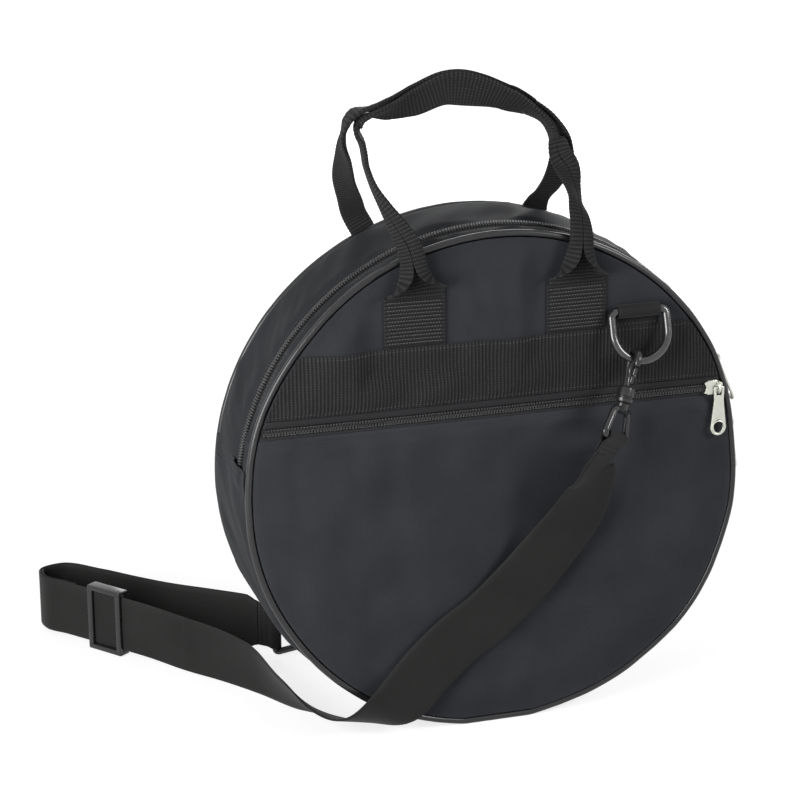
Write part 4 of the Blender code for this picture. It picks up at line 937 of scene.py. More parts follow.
def build_faces():
    """Back and front cloth, and the pocket's two walls."""
    lower_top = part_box("front_panel_lower")[1].z - CENTRE_HEIGHT
    jobs = (("back_cloth", 1, PANEL_LOWEST, PANEL_RADIUS, back_swell, "case", "back_panel"),
            ("front_cloth_upper", -1, FOLD_HEIGHT, PANEL_RADIUS, front_swell, "front_flap",
             "front_panel_upper"),
            ("pocket_cloth", -1, PANEL_LOWEST, POCKET_TOP, pocket_swell, "case", "pocket_panel"))
    for name, side, low, high, puff, body, node in jobs:
        shape = Shape()
        add_face_sheet(shape, side, low, high, PANEL_RADIUS, cloth_layer(PANEL_Y, puff))
        if node == "pocket_panel":
            add_hem(shape)
        finish_shape(name, shape, CLOTH, body, [node])
    shape = Shape()
    add_face_sheet(shape, -1, PANEL_LOWEST, lower_top, PANEL_RADIUS, cloth_layer(POCKET_INNER_Y, None),
                   columns=60, step=0.006)
    finish_shape("pocket_inner_cloth", shape, LINING_CLOTH, "case", ["front_panel_lower"])


def add_hem(shape):
    """The pocket's turned top edge: a soft double edge just under the zip tape."""
    points = []
    reach = math.sqrt(PANEL_RADIUS ** 2 - POCKET_TOP ** 2) - HEM_INSET
    for i in range(81):
        x = reach * (2.0 * i / 80 - 1.0)
        wave = HEM_WAVE * cloud(x * 60.0, 1.0, 4.0)
        points.append(panel_point(x, POCKET_TOP - HEM_DROP, -PANEL_Y + NYLON / 2 + wave))
    tube(shape, points, NYLON / 2 + HEM_PROUD, sides=8, normal=Vector((0.0, 1.0, 0.0)))


def build_insides():
    """The padding with its lining, on the faces and round the wall."""
    jobs = (("back_inside", 1, PANEL_LOWEST, PANEL_RADIUS, PAD_Y, "case", "back_{}"),
            ("front_inside_upper", -1, FOLD_HEIGHT, PANEL_RADIUS, PAD_Y, "front_flap", "front_{}_upper"),
            ("front_inside_lower", -1, PANEL_LOWEST, FOLD_HEIGHT - 2 * GAP, POCKET_PAD_Y, "case",
             "front_{}_lower"))
    for name, side, low, high, outer_y, body, nodes in jobs:
        shape = Shape()
        add_face_sheet(shape, side, low, high, LINING_RADIUS, padded_layer(outer_y), columns=60, step=0.005,
                       low_cut=HIGH_CUT_SHARE)
        pair = [nodes.format("padding"), nodes.format("lining")]
        finish_shape(name, shape, LINING_CLOTH, body, pair)
    walls = (("lower", ZIP_END_DEGREES + WALL_PAD_CLEAR_DEGREES,
              360.0 + ZIP_START_DEGREES - WALL_PAD_CLEAR_DEGREES, -PAD_HALF_WIDTH),
             ("rear", ZIP_START_DEGREES, ZIP_END_DEGREES, ZIP_REAR_Y + GAP))
    for name, start, end, front_y in walls:
        def layer(degrees, y):
            edge = min(y - front_y, PAD_HALF_WIDTH - y)
            rounded = WALL_PAD_ROUND * (1.0 - smoothstep(0.0, WALL_EDGE, edge))
            return GUSSET_INNER - GAP, GUSSET_INNER - GAP - FOAM - GAP - LINING + rounded

        shape = Shape()
        add_wall(shape, (start, end), (front_y, PAD_HALF_WIDTH), GUSSET_INNER - GAP, layer,
                 int((end - start) / 1.5), 14)
        pair = ["gusset_" + name + "_padding", "gusset_" + name + "_lining"]
        finish_shape("wall_inside_" + name, shape, LINING_CLOTH, "case", pair)


# The wall, its zip and the piping


def add_wall(shape, span, ys, radius, layer, steps, spans):
    """A sheet round the wall; layer(degrees, y) gives its outer and inner radius, radius its texture's."""
    def place(along, across):
        degrees = span[0] + (span[1] - span[0]) * along
        y = ys[0] + (ys[1] - ys[0]) * across
        outer, inner = layer(degrees, y)
        return (case_point(outer, degrees, y), case_point(inner, degrees, y),
                (radius * math.radians(degrees), y))

    add_grid(shape, steps, spans, place)


def add_wall_cloth(shape, span, ys, outer_radius, swelled=True):
    """The wall's cloth or a zip's tape, which may stand out a little and unevenly between its seams."""
    def layer(degrees, y):
        if not swelled:
            return outer_radius, GUSSET_INNER
        edge = smoothstep(0.0, WALL_EDGE, min(y - ys[0], ys[1] - y))
        turned = degrees % 360.0
        wave = WALL_WAVE * cloud(turned * 0.085 + y * 18.0, y * 30.0, 6.0)
        crease = WALL_CREASE * cloud(turned * 0.26 + y * 60.0, y * 22.0, 1.0)
        return outer_radius + edge * max(0.0, WALL_OUT + wave + crease), GUSSET_INNER

    add_wall(shape, span, ys, outer_radius, layer, max(3, math.ceil(span[1] - span[0])),
             max(4, math.ceil((ys[1] - ys[0]) / 0.0025)))


def named_span(base, ending):
    return base + "_" + ending if ending else base


def span_nodes(base, ending):
    """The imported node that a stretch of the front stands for: none where it only bends over the fold."""
    return [] if ending.startswith("fold") else [base + ("_end_" + ending if ending else "")]


def build_wall():
    """The side wall's cloth: the full lower panel, the rear strip and the narrow front strip."""
    jobs = [("lower", (ZIP_END_DEGREES + WALL_CLEAR_DEGREES, 360.0 + ZIP_START_DEGREES - WALL_CLEAR_DEGREES),
             (-GUSSET_HALF_WIDTH, GUSSET_HALF_WIDTH), "case", ["gusset_lower"]),
            ("rear", (ZIP_START_DEGREES, ZIP_END_DEGREES), (ZIP_REAR_Y + GAP, GUSSET_HALF_WIDTH), "case",
             ["gusset_rear"])]
    jobs += [(named_span("front", ending), span, (-GUSSET_HALF_WIDTH, ZIP_FRONT_Y - GAP), body,
              span_nodes("gusset_front", ending)) for ending, span, body in FRONT_SPANS]
    for name, span, ys, body, nodes in jobs:
        shape = Shape()
        add_wall_cloth(shape, span, ys, GUSSET_OUTER)
        finish_shape("wall_" + name, shape, GUSSET_CLOTH_PAINTED_DARKER, body, nodes)
    build_lap("left", *LAP_LEFT_SPAN, LAP_SLANT)
    build_lap("right", *LAP_RIGHT_SPAN, 0.0)


def lap_rise(y):
    """How far a lap stands out further, where it passes over the zip's coil."""
    near = 1.0 - smoothstep(*LAP_COIL_FADE, abs(y - ZIP_CENTRE_Y))
    return (COIL_OUTER + LAP_OVER_COIL - GUSSET_OUTER) * near


def build_lap(hand, free, flush, slant):
    """A turned end of the lower wall, which laps over an end of the zip, with its seam."""
    width = 2.0 * GUSSET_HALF_WIDTH

    def place(share, across):
        y = -GUSSET_HALF_WIDTH + width * across
        turned = slant * (0.5 - across)
        here = free + turned + (flush - free - turned) * share
        reach = GUSSET_OUTER + GAP + (LAP_PROUD + lap_rise(y)) * (1.0 - smoothstep(0.25, 1.0, share))
        wave = LAP_WAVE * cloud(y * 90.0, free, 3.0) * (1.0 - share)
        return (case_point(reach + wave, here, y), case_point(reach + wave - LAP_THICKNESS, here, y),
                (reach * math.radians(here), y))

    shape = Shape()
    add_grid(shape, 14, 30, place)
    finish_shape("lap_" + hand, shape, GUSSET_CLOTH_PAINTED_DARKER, "case")
    shape = Shape()
    for j in range(27):
        y = -GUSSET_HALF_WIDTH + LAP_SEAM_INSET + (width - 2.0 * LAP_SEAM_INSET) * j / 26
        seam = free - slant * y / width + math.copysign(LAP_SEAM_DEGREES, flush - free)
        out = Vector((math.cos(math.radians(seam)), 0.0, math.sin(math.radians(seam))))
        reach = GUSSET_OUTER + LAP_SEAM_PROUD + lap_rise(y)
        stitch(shape, case_point(reach, seam, y), Vector((0.0, 1.0, 0.0)), out)
    finish_shape("lap_" + hand + "_seam", shape, DARK_THREAD, "case")


def tooth_profile(low, high, rounding):
    """Round one turn of a coil: share of its half pitch, and level."""
    return ((-1.0, low), (-1.0, high - rounding), (-0.4, high), (0.4, high), (1.0, high - rounding),
            (1.0, low))


def add_teeth(shape, start, end, edge_y, centre_y, shift):
    """The coil's turns on one tape: small rounded bars from the tape to the middle of the zip."""
    count = int(math.radians(end - start) * COIL_OUTER / TOOTH_PITCH)
    way = 1.0 if centre_y > edge_y else -1.0
    far_y = centre_y + way * TOOTH_REACH
    half = math.degrees(TOOTH_PITCH * TOOTH_SHARE / COIL_OUTER)
    stations = ((edge_y, TAPE_OUTER, COIL_OUTER - 0.0007),
                (edge_y + way * TOOTH_ROUND, TAPE_OUTER, COIL_OUTER),
                (far_y - way * TOOTH_ROUND, TAPE_OUTER + 0.0001, COIL_OUTER),
                (far_y, TAPE_OUTER + 0.0006, COIL_OUTER - 0.0006))
    for i in range(count):
        degrees = start + (end - start) * (i + shift) / count
        rings = [[case_point(level, degrees + half * share, y)
                  for share, level in tooth_profile(low, high, TOOTH_ROUNDING)]
                 for y, low, high in stations]
        loft(shape, rings, [0.0] * 7, [0.0] * 4)


def build_main_zip():
    """The main zip's two halves: tape, coil turns, and the stitches on the tape's sewn edge."""
    jobs = [("rear", (ZIP_START_DEGREES, ZIP_END_DEGREES), "case", ["zip_half_rear"], ZIP_REAR_Y, -1.0)]
    jobs += [(named_span("front", ending), span, body, span_nodes("zip_half_front", ending), ZIP_FRONT_Y, 1.0)
             for ending, span, body in FRONT_SPANS]
    for name, (start, end), body, nodes, edge_y, way in jobs:
        centre_y = ZIP_CENTRE_Y - way * GAP / 2
        shape = Shape()
        add_wall_cloth(shape, (start, end), sorted((edge_y, centre_y)), TAPE_OUTER, swelled=False)
        finish_shape("zip_tape_" + name, shape, TAPE_CLOTH, body, nodes)
        shape = Shape()
        add_teeth(shape, start, end, centre_y - way * (COIL_HALF - GAP / 2), centre_y, 0.5 + way * 0.25)
        finish_shape("zip_teeth_" + name, shape, COIL, body)
        shape = Shape()
        count = int(math.radians(end - start) * TAPE_OUTER / TAPE_STITCH_PITCH)
        for i in range(count):
            degrees = start + (end - start) * (i + 0.5) / count
            angle = math.radians(degrees)
            stitch(shape, case_point(TAPE_OUTER, degrees, edge_y + way * TAPE_STITCH_INSET),
                   Vector((-math.sin(angle), 0.0, math.cos(angle))),
                   Vector((math.cos(angle), 0.0, math.sin(angle))), TAPE_STITCH_LENGTH)
        finish_shape("zip_stitches_" + name, shape, DARK_THREAD, body)


def add_piping(shape, y, start, end):
    closed = end - start >= 360.0
    count = max(6, int(end - start))
    points = []
    shares = []
    for i in range(count + (0 if closed else 1)):
        degrees = start + (end - start) * i / count
        sway = PIPING_SWAY * cloud(degrees * 0.2, y * 50.0, 3.0)
        points.append(case_point(PIPING_RING_RADIUS + sway, degrees, y, floor=PIPING_RADIUS))
        shares.append(PIPING_LEAST_SHARE + PIPING_UNEVEN_SHARE * cloud(degrees * 0.5, y * 50.0, 0.0))
    tube(shape, points, PIPING_RADIUS, 16, Vector((0.0, 1.0, 0.0)), closed, shares)


def build_edges():
    """Both faces' round glossy piping, and the binding tape over the seams in the corners inside."""
    fronts = (("upper", FLAP_SPAN, "front_flap"),
              ("lower", (180.0 - FOLD_LOW_DEGREES, 360.0 + FOLD_LOW_DEGREES), "case"),
              ("fold_left", BENDS_LEFT, "fold"), ("fold_right", BENDS_RIGHT, "fold"))
    spans = [("back", "", 1.0, (0.0, 360.0), "case")]
    spans += [("front", ending, -1.0, span, body) for ending, span, body in fronts]
    for face, ending, side, (start, end), body in spans:
        shape = Shape()
        add_piping(shape, side * PIPING_Y, start, end)
        nodes = [] if body == "fold" else [named_span(face + "_piping", ending)]
        finish_shape(named_span(face + "_edging", ending), shape, VINYL, body, nodes)
    for face, ending, side, (start, end), body in spans:
        shape = Shape()
        closed = end - start >= 360.0
        count = max(8, int((end - start) / 1.5))
        radius = LINING_RADIUS - BINDING_RADIUS - GAP
        y = side * (LINING_Y - BINDING_RADIUS - GAP)
        points = [case_point(radius, start + (end - start) * i / count, y)
                  for i in range(count + (0 if closed else 1))]
        tube(shape, points, BINDING_RADIUS, 10, Vector((0.0, 1.0, 0.0)), closed)
        finish_shape(named_span(face + "_binding", ending), shape, TAPE_CLOTH, body)


def build_fold():
    """The strip of cloth behind the fold, which joins the flap to the pocket's inner wall."""
    def place(along, across):
        height = FOLD_HEIGHT + FOLD_SPREAD * (2.0 * along - 1.0)
        x = (math.sqrt(LINING_RADIUS ** 2 - height ** 2) - FOLD_STRIP_INSET) * (2.0 * across - 1.0)
        return (panel_point(x, height, -LINING_Y + GAP),
                panel_point(x, height, -LINING_Y + GAP + LINING), (x, height))

    shape = Shape()
    add_grid(shape, 16, 60, place)
    finish_shape("fold_strip", shape, LINING_CLOTH, "fold")


# Webbing on the faces


def rib(distance):
    """A rib's height above the webbing's valleys."""
    return RIB_HEIGHT * (0.5 - 0.5 * math.cos(2.0 * math.pi * distance / RIB_PITCH))


def face_point(side, x, height, y):
    """A point on a face, carried out by the swell of the cloth under it."""
    return panel_point(x, height, side * (y + swell(side, x, height)))


def build_band(face, side, body):
    """The wide band: webbing with ribs across it, cut to the case's round edge."""
    reach = math.sqrt(PANEL_RADIUS ** 2 - BAND_BOTTOM ** 2) - BAND_END_INSET

    def place(along, across):
        x = reach * (2.0 * across - 1.0)
        top = min(BAND_TOP, math.sqrt(PANEL_RADIUS ** 2 - x * x) - BAND_TOP_INSET)
        height = BAND_BOTTOM + (top - BAND_BOTTOM) * along
        edge = smoothstep(0.0, BAND_EDGE, min(height - BAND_BOTTOM, BAND_TOP - height))
        thick = WEBBING_THICKNESS - RIB_HEIGHT + rib(x) * (0.5 + 0.5 * edge)
        return (face_point(side, x, height, WEBBING_Y + thick), face_point(side, x, height, WEBBING_Y),
                (height, x))

    shape = Shape()
    add_grid(shape, 8, int(2.0 * reach / RIB_PITCH * RIB_STEPS), place)
    finish_shape(face + "_ribbed_band", shape, RIBBED, body, [face + "_band"], sharp=60.0)
    shape = Shape()
    for level in (BAND_BOTTOM + BAND_SEAM_INSET, BAND_TOP - BAND_SEAM_INSET):
        add_level_seam(shape, side, level, reach, RIB_PITCH, WEBBING_FACE_Y - BAND_SEAM_DEPTH)
    finish_shape(face + "_band_stitches", shape, DARK_THREAD, body)


def add_level_seam(shape, side, level, reach, pitch, y, *sizes):
    """A row of stitches along a face, which stops short of the panel's edge."""
    for i in range(int(2.0 * reach / pitch)):
        x = -reach + (i + 0.5) * pitch
        if math.hypot(x, level) <= PANEL_RADIUS - SEAM_EDGE_INSET:
            stitch(shape, face_point(side, x, level, y), Vector((1.0, 0.0, 0.0)),
                   Vector((0.0, float(side), 0.0)), *sizes)


def build_patch(face, side, hand, body):
    """A handle's sewn end: webbing with ribs across, held by rows of stitches along the valleys."""
    node = face + "_handle_patch_" + hand
    low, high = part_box(node)
    middle = (low.x + high.x) / 2
    half = (high.x - low.x) / 2
    bottom = low.z - CENTRE_HEIGHT
    top = high.z - CENTRE_HEIGHT

    def place(along, across):
        height = bottom + (top - bottom) * along
        x = middle + half * (2.0 * across - 1.0)
        edge = smoothstep(0.0, PATCH_EDGE, half - abs(x - middle))
        thick = WEBBING_THICKNESS - RIB_HEIGHT * 1.2 + 1.5 * rib(height - bottom) * (0.4 + 0.6 * edge)
        return (face_point(side, x, height, WEBBING_Y + thick), face_point(side, x, height, WEBBING_Y),
                (x, height))

    shape = Shape()
    add_grid(shape, int((top - bottom) / RIB_PITCH * RIB_STEPS), 20, place)
    finish_shape(face + "_patch_" + hand, shape, RIBBED, body, [node], sharp=60.0)
    shape = Shape()
    for i in range(1, int((top - bottom) / RIB_PITCH) + 1):
        level = bottom + i * RIB_PITCH
        if level > top - PATCH_SEAM_TOP:
            continue
        for j in range(PATCH_STITCHES):
            x = middle + (half - PATCH_SEAM_INSET) * (2.0 * (j + 0.5 * (i % 2)) / PATCH_STITCHES - 1.0)
            length = PATCH_STITCH_LENGTH + PATCH_STITCH_UNEVEN * cloud(x * 900.0, level * 1100.0, 2.0)
            stitch(shape, face_point(side, x, level, WEBBING_FACE_Y - RIB_HEIGHT * 0.9),
                   Vector((1.0, 0.0, 0.0)), Vector((0.0, float(side), 0.0)), length, PATCH_STITCH_RADIUS)
    finish_shape(face + "_patch_stitches_" + hand, shape, THREAD, body)


def flat_section(width, thickness, half_count=6):
    """Points round a flat webbing's section, with rounded edges: (across, out)."""
    half = width / 2 - thickness / 2
    stops = [half * (k / half_count - 1.0) for k in range(2 * half_count + 1)]
    return ([(a, thickness / 2) for a in stops] + [(width / 2, 0.0)]
            + [(-a, -thickness / 2) for a in stops] + [(-width / 2, 0.0)])


def section_rounds(section):
    return [a for a, o in section] + [section[0][0]]


def folded_section(width, fold, thickness, rise, side):
    """Points round webbing whose two edges fold over by a share of a full turn, towards side."""
    total = math.radians(FOLDED_DEGREES) * fold
    crease = width / 4
    bend = FOLDED_BEND
    stops = [crease * 0.5] + [crease - bend / 2 + bend * k / 6 for k in range(7)]
    stops += [crease + bend, width / 2 - 0.0006, width / 2]
    line = [(0.0, 0.0, 0.0, 0.0)]
    across = 0.0
    out = 0.0
    last = 0.0
    for stop in stops:
        step = stop - last
        turn = total * smoothstep(crease - bend / 2, crease + bend / 2, last + step / 2)
        across += step * math.cos(turn)
        out += step * math.sin(turn)
        line.append((across, out, total * smoothstep(crease - bend / 2, crease + bend / 2, stop), stop))
        last = stop
    halves = []
    for way in (1.0, -1.0):
        points = []
        for across, out, heading, stop in line:
            size = thickness / 2 * (0.55 if stop >= width / 2 else 1.0)
            size += rise if stop < width / 2 - 0.001 else 0.0
            points.append((across - way * math.sin(heading) * size,
                           out + way * math.cos(heading) * size - FOLDED_CENTRE * fold, stop))
        halves.append([(-a, o, -s) for a, o, s in points[:0:-1]] + points)
    ring = halves[0] + halves[1][::-1]
    return [(a, side * o) for a, o, s in ring], [s for a, o, s in ring]


def face_frame(centres, acrosses, i):
    """The way across webbing and the way out of its face, at one of its places."""
    along = way_along(centres, i)
    across = (acrosses[i] - acrosses[i].dot(along) * along).normalized()
    return across, along.cross(across)


def handle_bundle(spread):
    """The folded webbing's outer width: 1 at a foot, 0 on a leg, -1 on the grip."""
    other = HANDLE_FOOT_WIDTH if spread > 0.0 else HANDLE_GRIP_WIDTH
    return HANDLE_LEG_WIDTH + (other - HANDLE_LEG_WIDTH) * abs(spread)


def build_handle(name, body, left_leg, right_leg, layer, node):
    """A handle: webbing folded over lengthways, which opens like wings to its width at each foot."""
    rows = left_leg + GRIP_SHARES + right_leg
    first = len(left_leg)
    last = first + len(GRIP_SHARES) - 1
    places = []
    shifts = []
    for i, ((x, y, rise), across, spread) in enumerate(rows):
        places.append(Vector((PATCH_SHIFT + x * PATCH_SPREAD, y * HANDLE_FOOT_Y,
                              CENTRE_HEIGHT + HANDLE_FOOT + rise * HANDLE_RISE)))
        shifts.append(Vector((0.0, spread, 0.0)))
        if first <= i <= last:
            near = min(i - first, last - i, len(GRIP_PARTING_SHARES) - 1)
            shifts[i].x = layer * GRIP_PARTING_SHARES[near]
            places[i].y -= math.copysign(HANDLE_STAGGER, layer)
    marks = distances(places)
    count = int(marks[-1] / RIB_PITCH * RIB_STEPS)
    stops = [marks[-1] * i / count for i in range(count + 1)]
    centres = values_at(places, marks, stops)
    acrosses = values_at([across for place, across, spread in rows], marks, stops)
    sizes = values_at(shifts, marks, stops)
    grip = (marks[first + GRIP_START], marks[last - GRIP_START])
    inside = {1: grip[0] + GRIP_OVERLAP, -1: grip[1] - GRIP_OVERLAP}
    shape = Shape()
    for half in (1, -1):
        side = -half if layer > 0.0 else half
        rings = []
        runs = []
        for i, stop in enumerate(stops):
            if (stop <= marks[first + GRIP_TOP]) != (half > 0):
                continue
            across, face_out = face_frame(centres, acrosses, i)
            spread = min(1.0, max(-1.0, sizes[i].y))
            fold = 1.0 - max(0.0, spread)
            folded = 2.0 * (handle_bundle(spread) - FOLDED_ROOM) - HANDLE_FOOT_WIDTH
            section, rounds = folded_section(HANDLE_FOOT_WIDTH + folded * fold, fold, FOLDED_THICKNESS,
                                             0.5 * rib(stop), side)
            if half * stop <= half * inside[half]:
                middle = centres[i] + sizes[i].x * face_out
                rings.append([middle + a * across + o * face_out for a, o in section][::side])
                runs.append(stop)
        rounds = rounds[::side]
        loft(shape, rings, rounds + rounds[:1], runs)
    add_grip(shape, centres, acrosses, sizes, stops, *grip)
    item = finish_shape(name, shape, RIBBED, body, [node], sharp=60.0)


def add_grip(shape, centres, acrosses, sizes, stops, start, end):
    """The grip, where the folded webbing is sewn shut: one thick, slightly crumpled, ribbed run."""
    rings = []
    runs = [stop for stop in stops if start <= stop <= end]
    thick = HANDLE_THICKNESS + 0.0001
    for i, stop in enumerate(stops):
        if not start <= stop <= end:
            continue
        across, face_out = face_frame(centres, acrosses, i)
        near_end = smoothstep(0.0, GRIP_EDGE, min(stop - start, end - stop))
        crumple = GRIP_CRUMPLE * cloud(stop * 42.0, 7.0, centres[i].y * 90.0) * near_end
        width = handle_bundle(sizes[i].y) + GRIP_SLEEVE + crumple
        middle = centres[i] + sizes[i].x * face_out
        section = flat_section(width, thick, 8)
        ring = []
        for a, o in section:
            flat = 1.0 - abs(2.0 * a / width) ** 3
            lift = rib(stop) * 0.5 * flat * math.copysign(1.0, o) if abs(o) > thick / 4 else 0.0
            ring.append(middle + a * across + (o - lift * 0.6) * face_out)
        rings.append(ring)
        rounds = section_rounds(section)
    loft(shape, rings, rounds, runs)


def add_webbing(shape, places, across, width, thickness, half_count):
    """A flat run of webbing along a path that stays square to the way across."""
    section = flat_section(width, thickness, half_count)
    rings = []
    for i, place in enumerate(places):
        out = way_along(places, i).cross(across)
        rings.append([place + a * across + o * out for a, o in section])
    loft(shape, rings, section_rounds(section), distances(places))


def build_tab(face, side, joint, body):
    """The webbing loop that holds a ring's bar, sewn down above the band."""
    bar = joint_place(joint)
    half = RING_HALF_WIDTH - RING_CORNER - GAP
    reach = RING_WIRE + GAP + WEBBING_THICKNESS / 2
    thick = WEBBING_THICKNESS * 0.9
    low = CENTRE_HEIGHT + BAND_TOP + GAP
    path = [Vector((bar.x, bar.y - side * reach, low + (bar.z - low) * i / 5)) for i in range(5)]
    path += [Vector((bar.x, bar.y + side * y, bar.z + z)) for y, z in arc(reach, 180.0, -150.0, 21)]
    across = Vector((1.0, 0.0, 0.0))
    shape = Shape()
    add_webbing(shape, path, across, 2.0 * half, thick, 8)
    finish_shape(face + "_ring_loop", shape, STRAP_WEB, body, ["ring_tab_" + face])
    shape = Shape()
    for i in range(11):
        x = bar.x + (half - TAB_SEAM_INSET) * (i / 5.0 - 1.0)
        spot = Vector((x, side * (WEBBING_Y + TAB_SEAM_PROUD + thick), low + TAB_SEAM_RISE))
        stitch(shape, spot, across, Vector((0.0, float(side), 0.0)))
    finish_shape(face + "_ring_loop_stitches", shape, DARK_THREAD, body)


def build_pocket_zip():
    """The pocket zip: two tapes, the coil's turns and two rows of light stitches beside it."""
    for hand in ("lower", "upper"):
        low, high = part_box("pocket_zip_tape_" + hand)

        def place(along, across):
            height = low.z - CENTRE_HEIGHT + (high.z - low.z) * along
            x = (math.sqrt(PANEL_RADIUS ** 2 - height ** 2) - BAND_TOP_INSET) * (2.0 * across - 1.0)
            return panel_point(x, height, low.y), panel_point(x, height, high.y), (x, height)

        shape = Shape()
        add_grid(shape, 5, 160, place)
        finish_shape("pocket_tape_" + hand, shape, TAPE_CLOTH, "case", ["pocket_zip_tape_" + hand])
    shape = Shape()
    low_y = COIL_BOX[1].y
    high_y = COIL_BOX[0].y
    reach = COIL_BOX[1].x
    half = TOOTH_PITCH * TOOTH_SHARE
    for way in (-1.0, 1.0):
        edge = COIL_MIDDLE + way * COIL_HALF
        end = COIL_MIDDLE - way * TOOTH_REACH
        stations = ((edge, low_y - 0.0008), (edge - way * TOOTH_ROUND, high_y),
                    (end + way * TOOTH_ROUND, high_y), (end, high_y + 0.0005))
        for i in range(int(2.0 * reach / TOOTH_PITCH)):
            x = -reach + (i + 0.5 + 0.25 * way) * TOOTH_PITCH
            rings = [[panel_point(x + share * half, height, y)
                      for share, y in tooth_profile(low_y, top, -POCKET_TOOTH_ROUNDING)]
                     for height, top in stations]
            loft(shape, rings, [0.0] * 7, [0.0] * 4)
    finish_shape("pocket_teeth", shape, COIL, "case", ["pocket_zip_coil"])
    shape = Shape()
    for way in (1.0, -1.0):
        add_level_seam(shape, -1, COIL_MIDDLE + way * COIL_HALF * COIL_SEAM_SHARE, reach, COIL_STITCH_PITCH,
                       -high_y, COIL_STITCH_LENGTH, COIL_STITCH_RADIUS)
    finish_shape("pocket_zip_stitches", shape, THREAD, "case")


# Rings, hooks, sliders and the adjuster


def build_ring(name, side, joint, tilt_degrees, body, node):
    """A D-ring of round wire: a straight bar in the tab, and a rounded bow below it."""
    bar = joint_place(joint)
    tilt = math.radians(tilt_degrees)
    inset = RING_HALF_WIDTH - RING_CORNER
    legs = [-RING_CORNER - (RING_STRAIGHT - RING_CORNER) * share for share in (0.35, 0.7)]
    flat = [(x, 0.0) for x in RING_BAR_STOPS] + arc(RING_CORNER, 75.0, 0.0, 5, (inset, -RING_CORNER))
    flat += [(RING_HALF_WIDTH, leg) for leg in legs]
    flat += arc(RING_HALF_WIDTH, 0.0, -180.0, 30, (0.0, -RING_STRAIGHT))
    flat += [(-RING_HALF_WIDTH, leg) for leg in legs[::-1]]
    flat += arc(RING_CORNER, 180.0, 105.0, 5, (-inset, -RING_CORNER))
    points = [Vector((bar.x + x, bar.y - side * down * math.sin(tilt), bar.z + down * math.cos(tilt)))
              for x, down in flat]
    normal = Vector((0.0, math.cos(tilt), side * math.sin(tilt)))
    shape = Shape()
    tube(shape, points, RING_WIRE * 0.99, 18, normal, closed=True)
    finish_shape(name, shape, RING_ENAMEL, body, [node], sharp=60.0)


def build_hook(end, across, eye_across, bodies):
    """A swivel snap hook: claw and barrel, sprung gate, and the strap's eye with its stem."""
    swivel = joint_place(end + "_swivel")
    up = -joint_axis(end + "_swivel")
    across = (across - across.dot(up) * up).normalized()
    place = frame_matrix(swivel, across, up.cross(across), up)
    root_y = BARREL_RADIUS - CLAW_WIRE
    path = [(root_y, -BARREL_TOP), (root_y + 0.0002, -BARREL_TOP + 0.003),
            (root_y + 0.0015, -CLAW_RADIUS - 0.003), (CLAW_RADIUS, -CLAW_RADIUS + 0.001),
            (CLAW_RADIUS, -CLAW_RADIUS * 0.4)]
    path += arc(CLAW_RADIUS, 0.0, 180.0, 12)
    path += [(-CLAW_RADIUS, -CLAW_WIRE * 0.6), (-CLAW_RADIUS, -CLAW_WIRE)]
    shape = Shape()
    tube(shape, [place @ Vector((0.0, y, z)) for y, z in path], CLAW_WIRE, 16, across,
         shares=[1.0] * (len(path) - len(CLAW_TIP_SHARES)) + CLAW_TIP_SHARES)
    low = -BARREL_TOP - BARREL_LENGTH
    add_round(shape, place, across, BARREL_RADIUS, 24,
              [(low + rise, share) for rise, share in BARREL_FOOT_PROFILE]
              + [(-BARREL_TOP - drop, share) for drop, share in BARREL_HEAD_PROFILE])
    finish_shape("claw_" + end, shape, PLASTIC, bodies[0], ["hook_claw_" + end])
    pivot = Vector((0.0, -GATE_PIVOT_FORWARD, -BARREL_TOP + GAP + GATE_WIRE))
    run = Vector((0.0, -CLAW_RADIUS, -CLAW_WIRE - GATE_PLAY)) - pivot
    shape = Shape()
    tube(shape, [place @ (pivot + run * share) for share, size in GATE_SHARES], GATE_WIRE, 12, across,
         shares=[size for share, size in GATE_SHARES])
    thumb = pivot + run * 0.45
    tube(shape, [place @ (thumb + Vector((0.0, -GATE_WIRE * share, 0.0))) for share, size in THUMB_SHARES],
         GATE_WIRE, 10, across, shares=[size for share, size in THUMB_SHARES])
    finish_shape("gate_" + end, shape, PLASTIC, bodies[1], ["hook_gate_" + end])
    eye_turn = (eye_across - eye_across.dot(up) * up).normalized()
    place = frame_matrix(swivel, eye_turn, up.cross(eye_turn), up)
    eye_top = low - GAP - COLLAR_HEIGHT - EYE_NECK
    eye_bottom = eye_top - EYE_HEIGHT
    half_top = EYE_TOP_HALF_WIDTH + EYE_WIRE * 0.6
    corners = [(half_top, eye_top), (EYE_BOTTOM_HALF_WIDTH, eye_bottom), (-EYE_BOTTOM_HALF_WIDTH, eye_bottom),
               (-half_top, eye_top)]
    shape = Shape()
    tube(shape, [place @ Vector((x, 0.0, z)) for x, z in rounded_loop(corners, EYE_CORNER)], EYE_WIRE, 14,
         place.to_3x3() @ Vector((0.0, 1.0, 0.0)), closed=True)
    add_round(shape, place, eye_turn, COLLAR_RADIUS, 18,
              [(eye_top, 0.9), (eye_top + EYE_WIRE * 0.9, 0.98), (low - GAP - 0.0004, 1.0), (low - GAP, 0.9)])
    add_round(shape, place, eye_turn, STEM_RADIUS, 14, [(low - GAP, 1.0), (low + STEM_SEAT - GAP, 1.0)])
    finish_shape("eye_" + end, shape, PLASTIC, bodies[2], ["hook_eye_" + end])
    return place @ Vector((0.0, 0.0, eye_bottom)), eye_turn


def add_round(shape, place, normal, radius, sides, profile):
    """A turned part on its own axis: (height, share of the radius) at each step of its profile."""
    tube(shape, [place @ Vector((0.0, 0.0, z)) for z, share in profile], radius, sides, normal,
         shares=[share for z, share in profile])


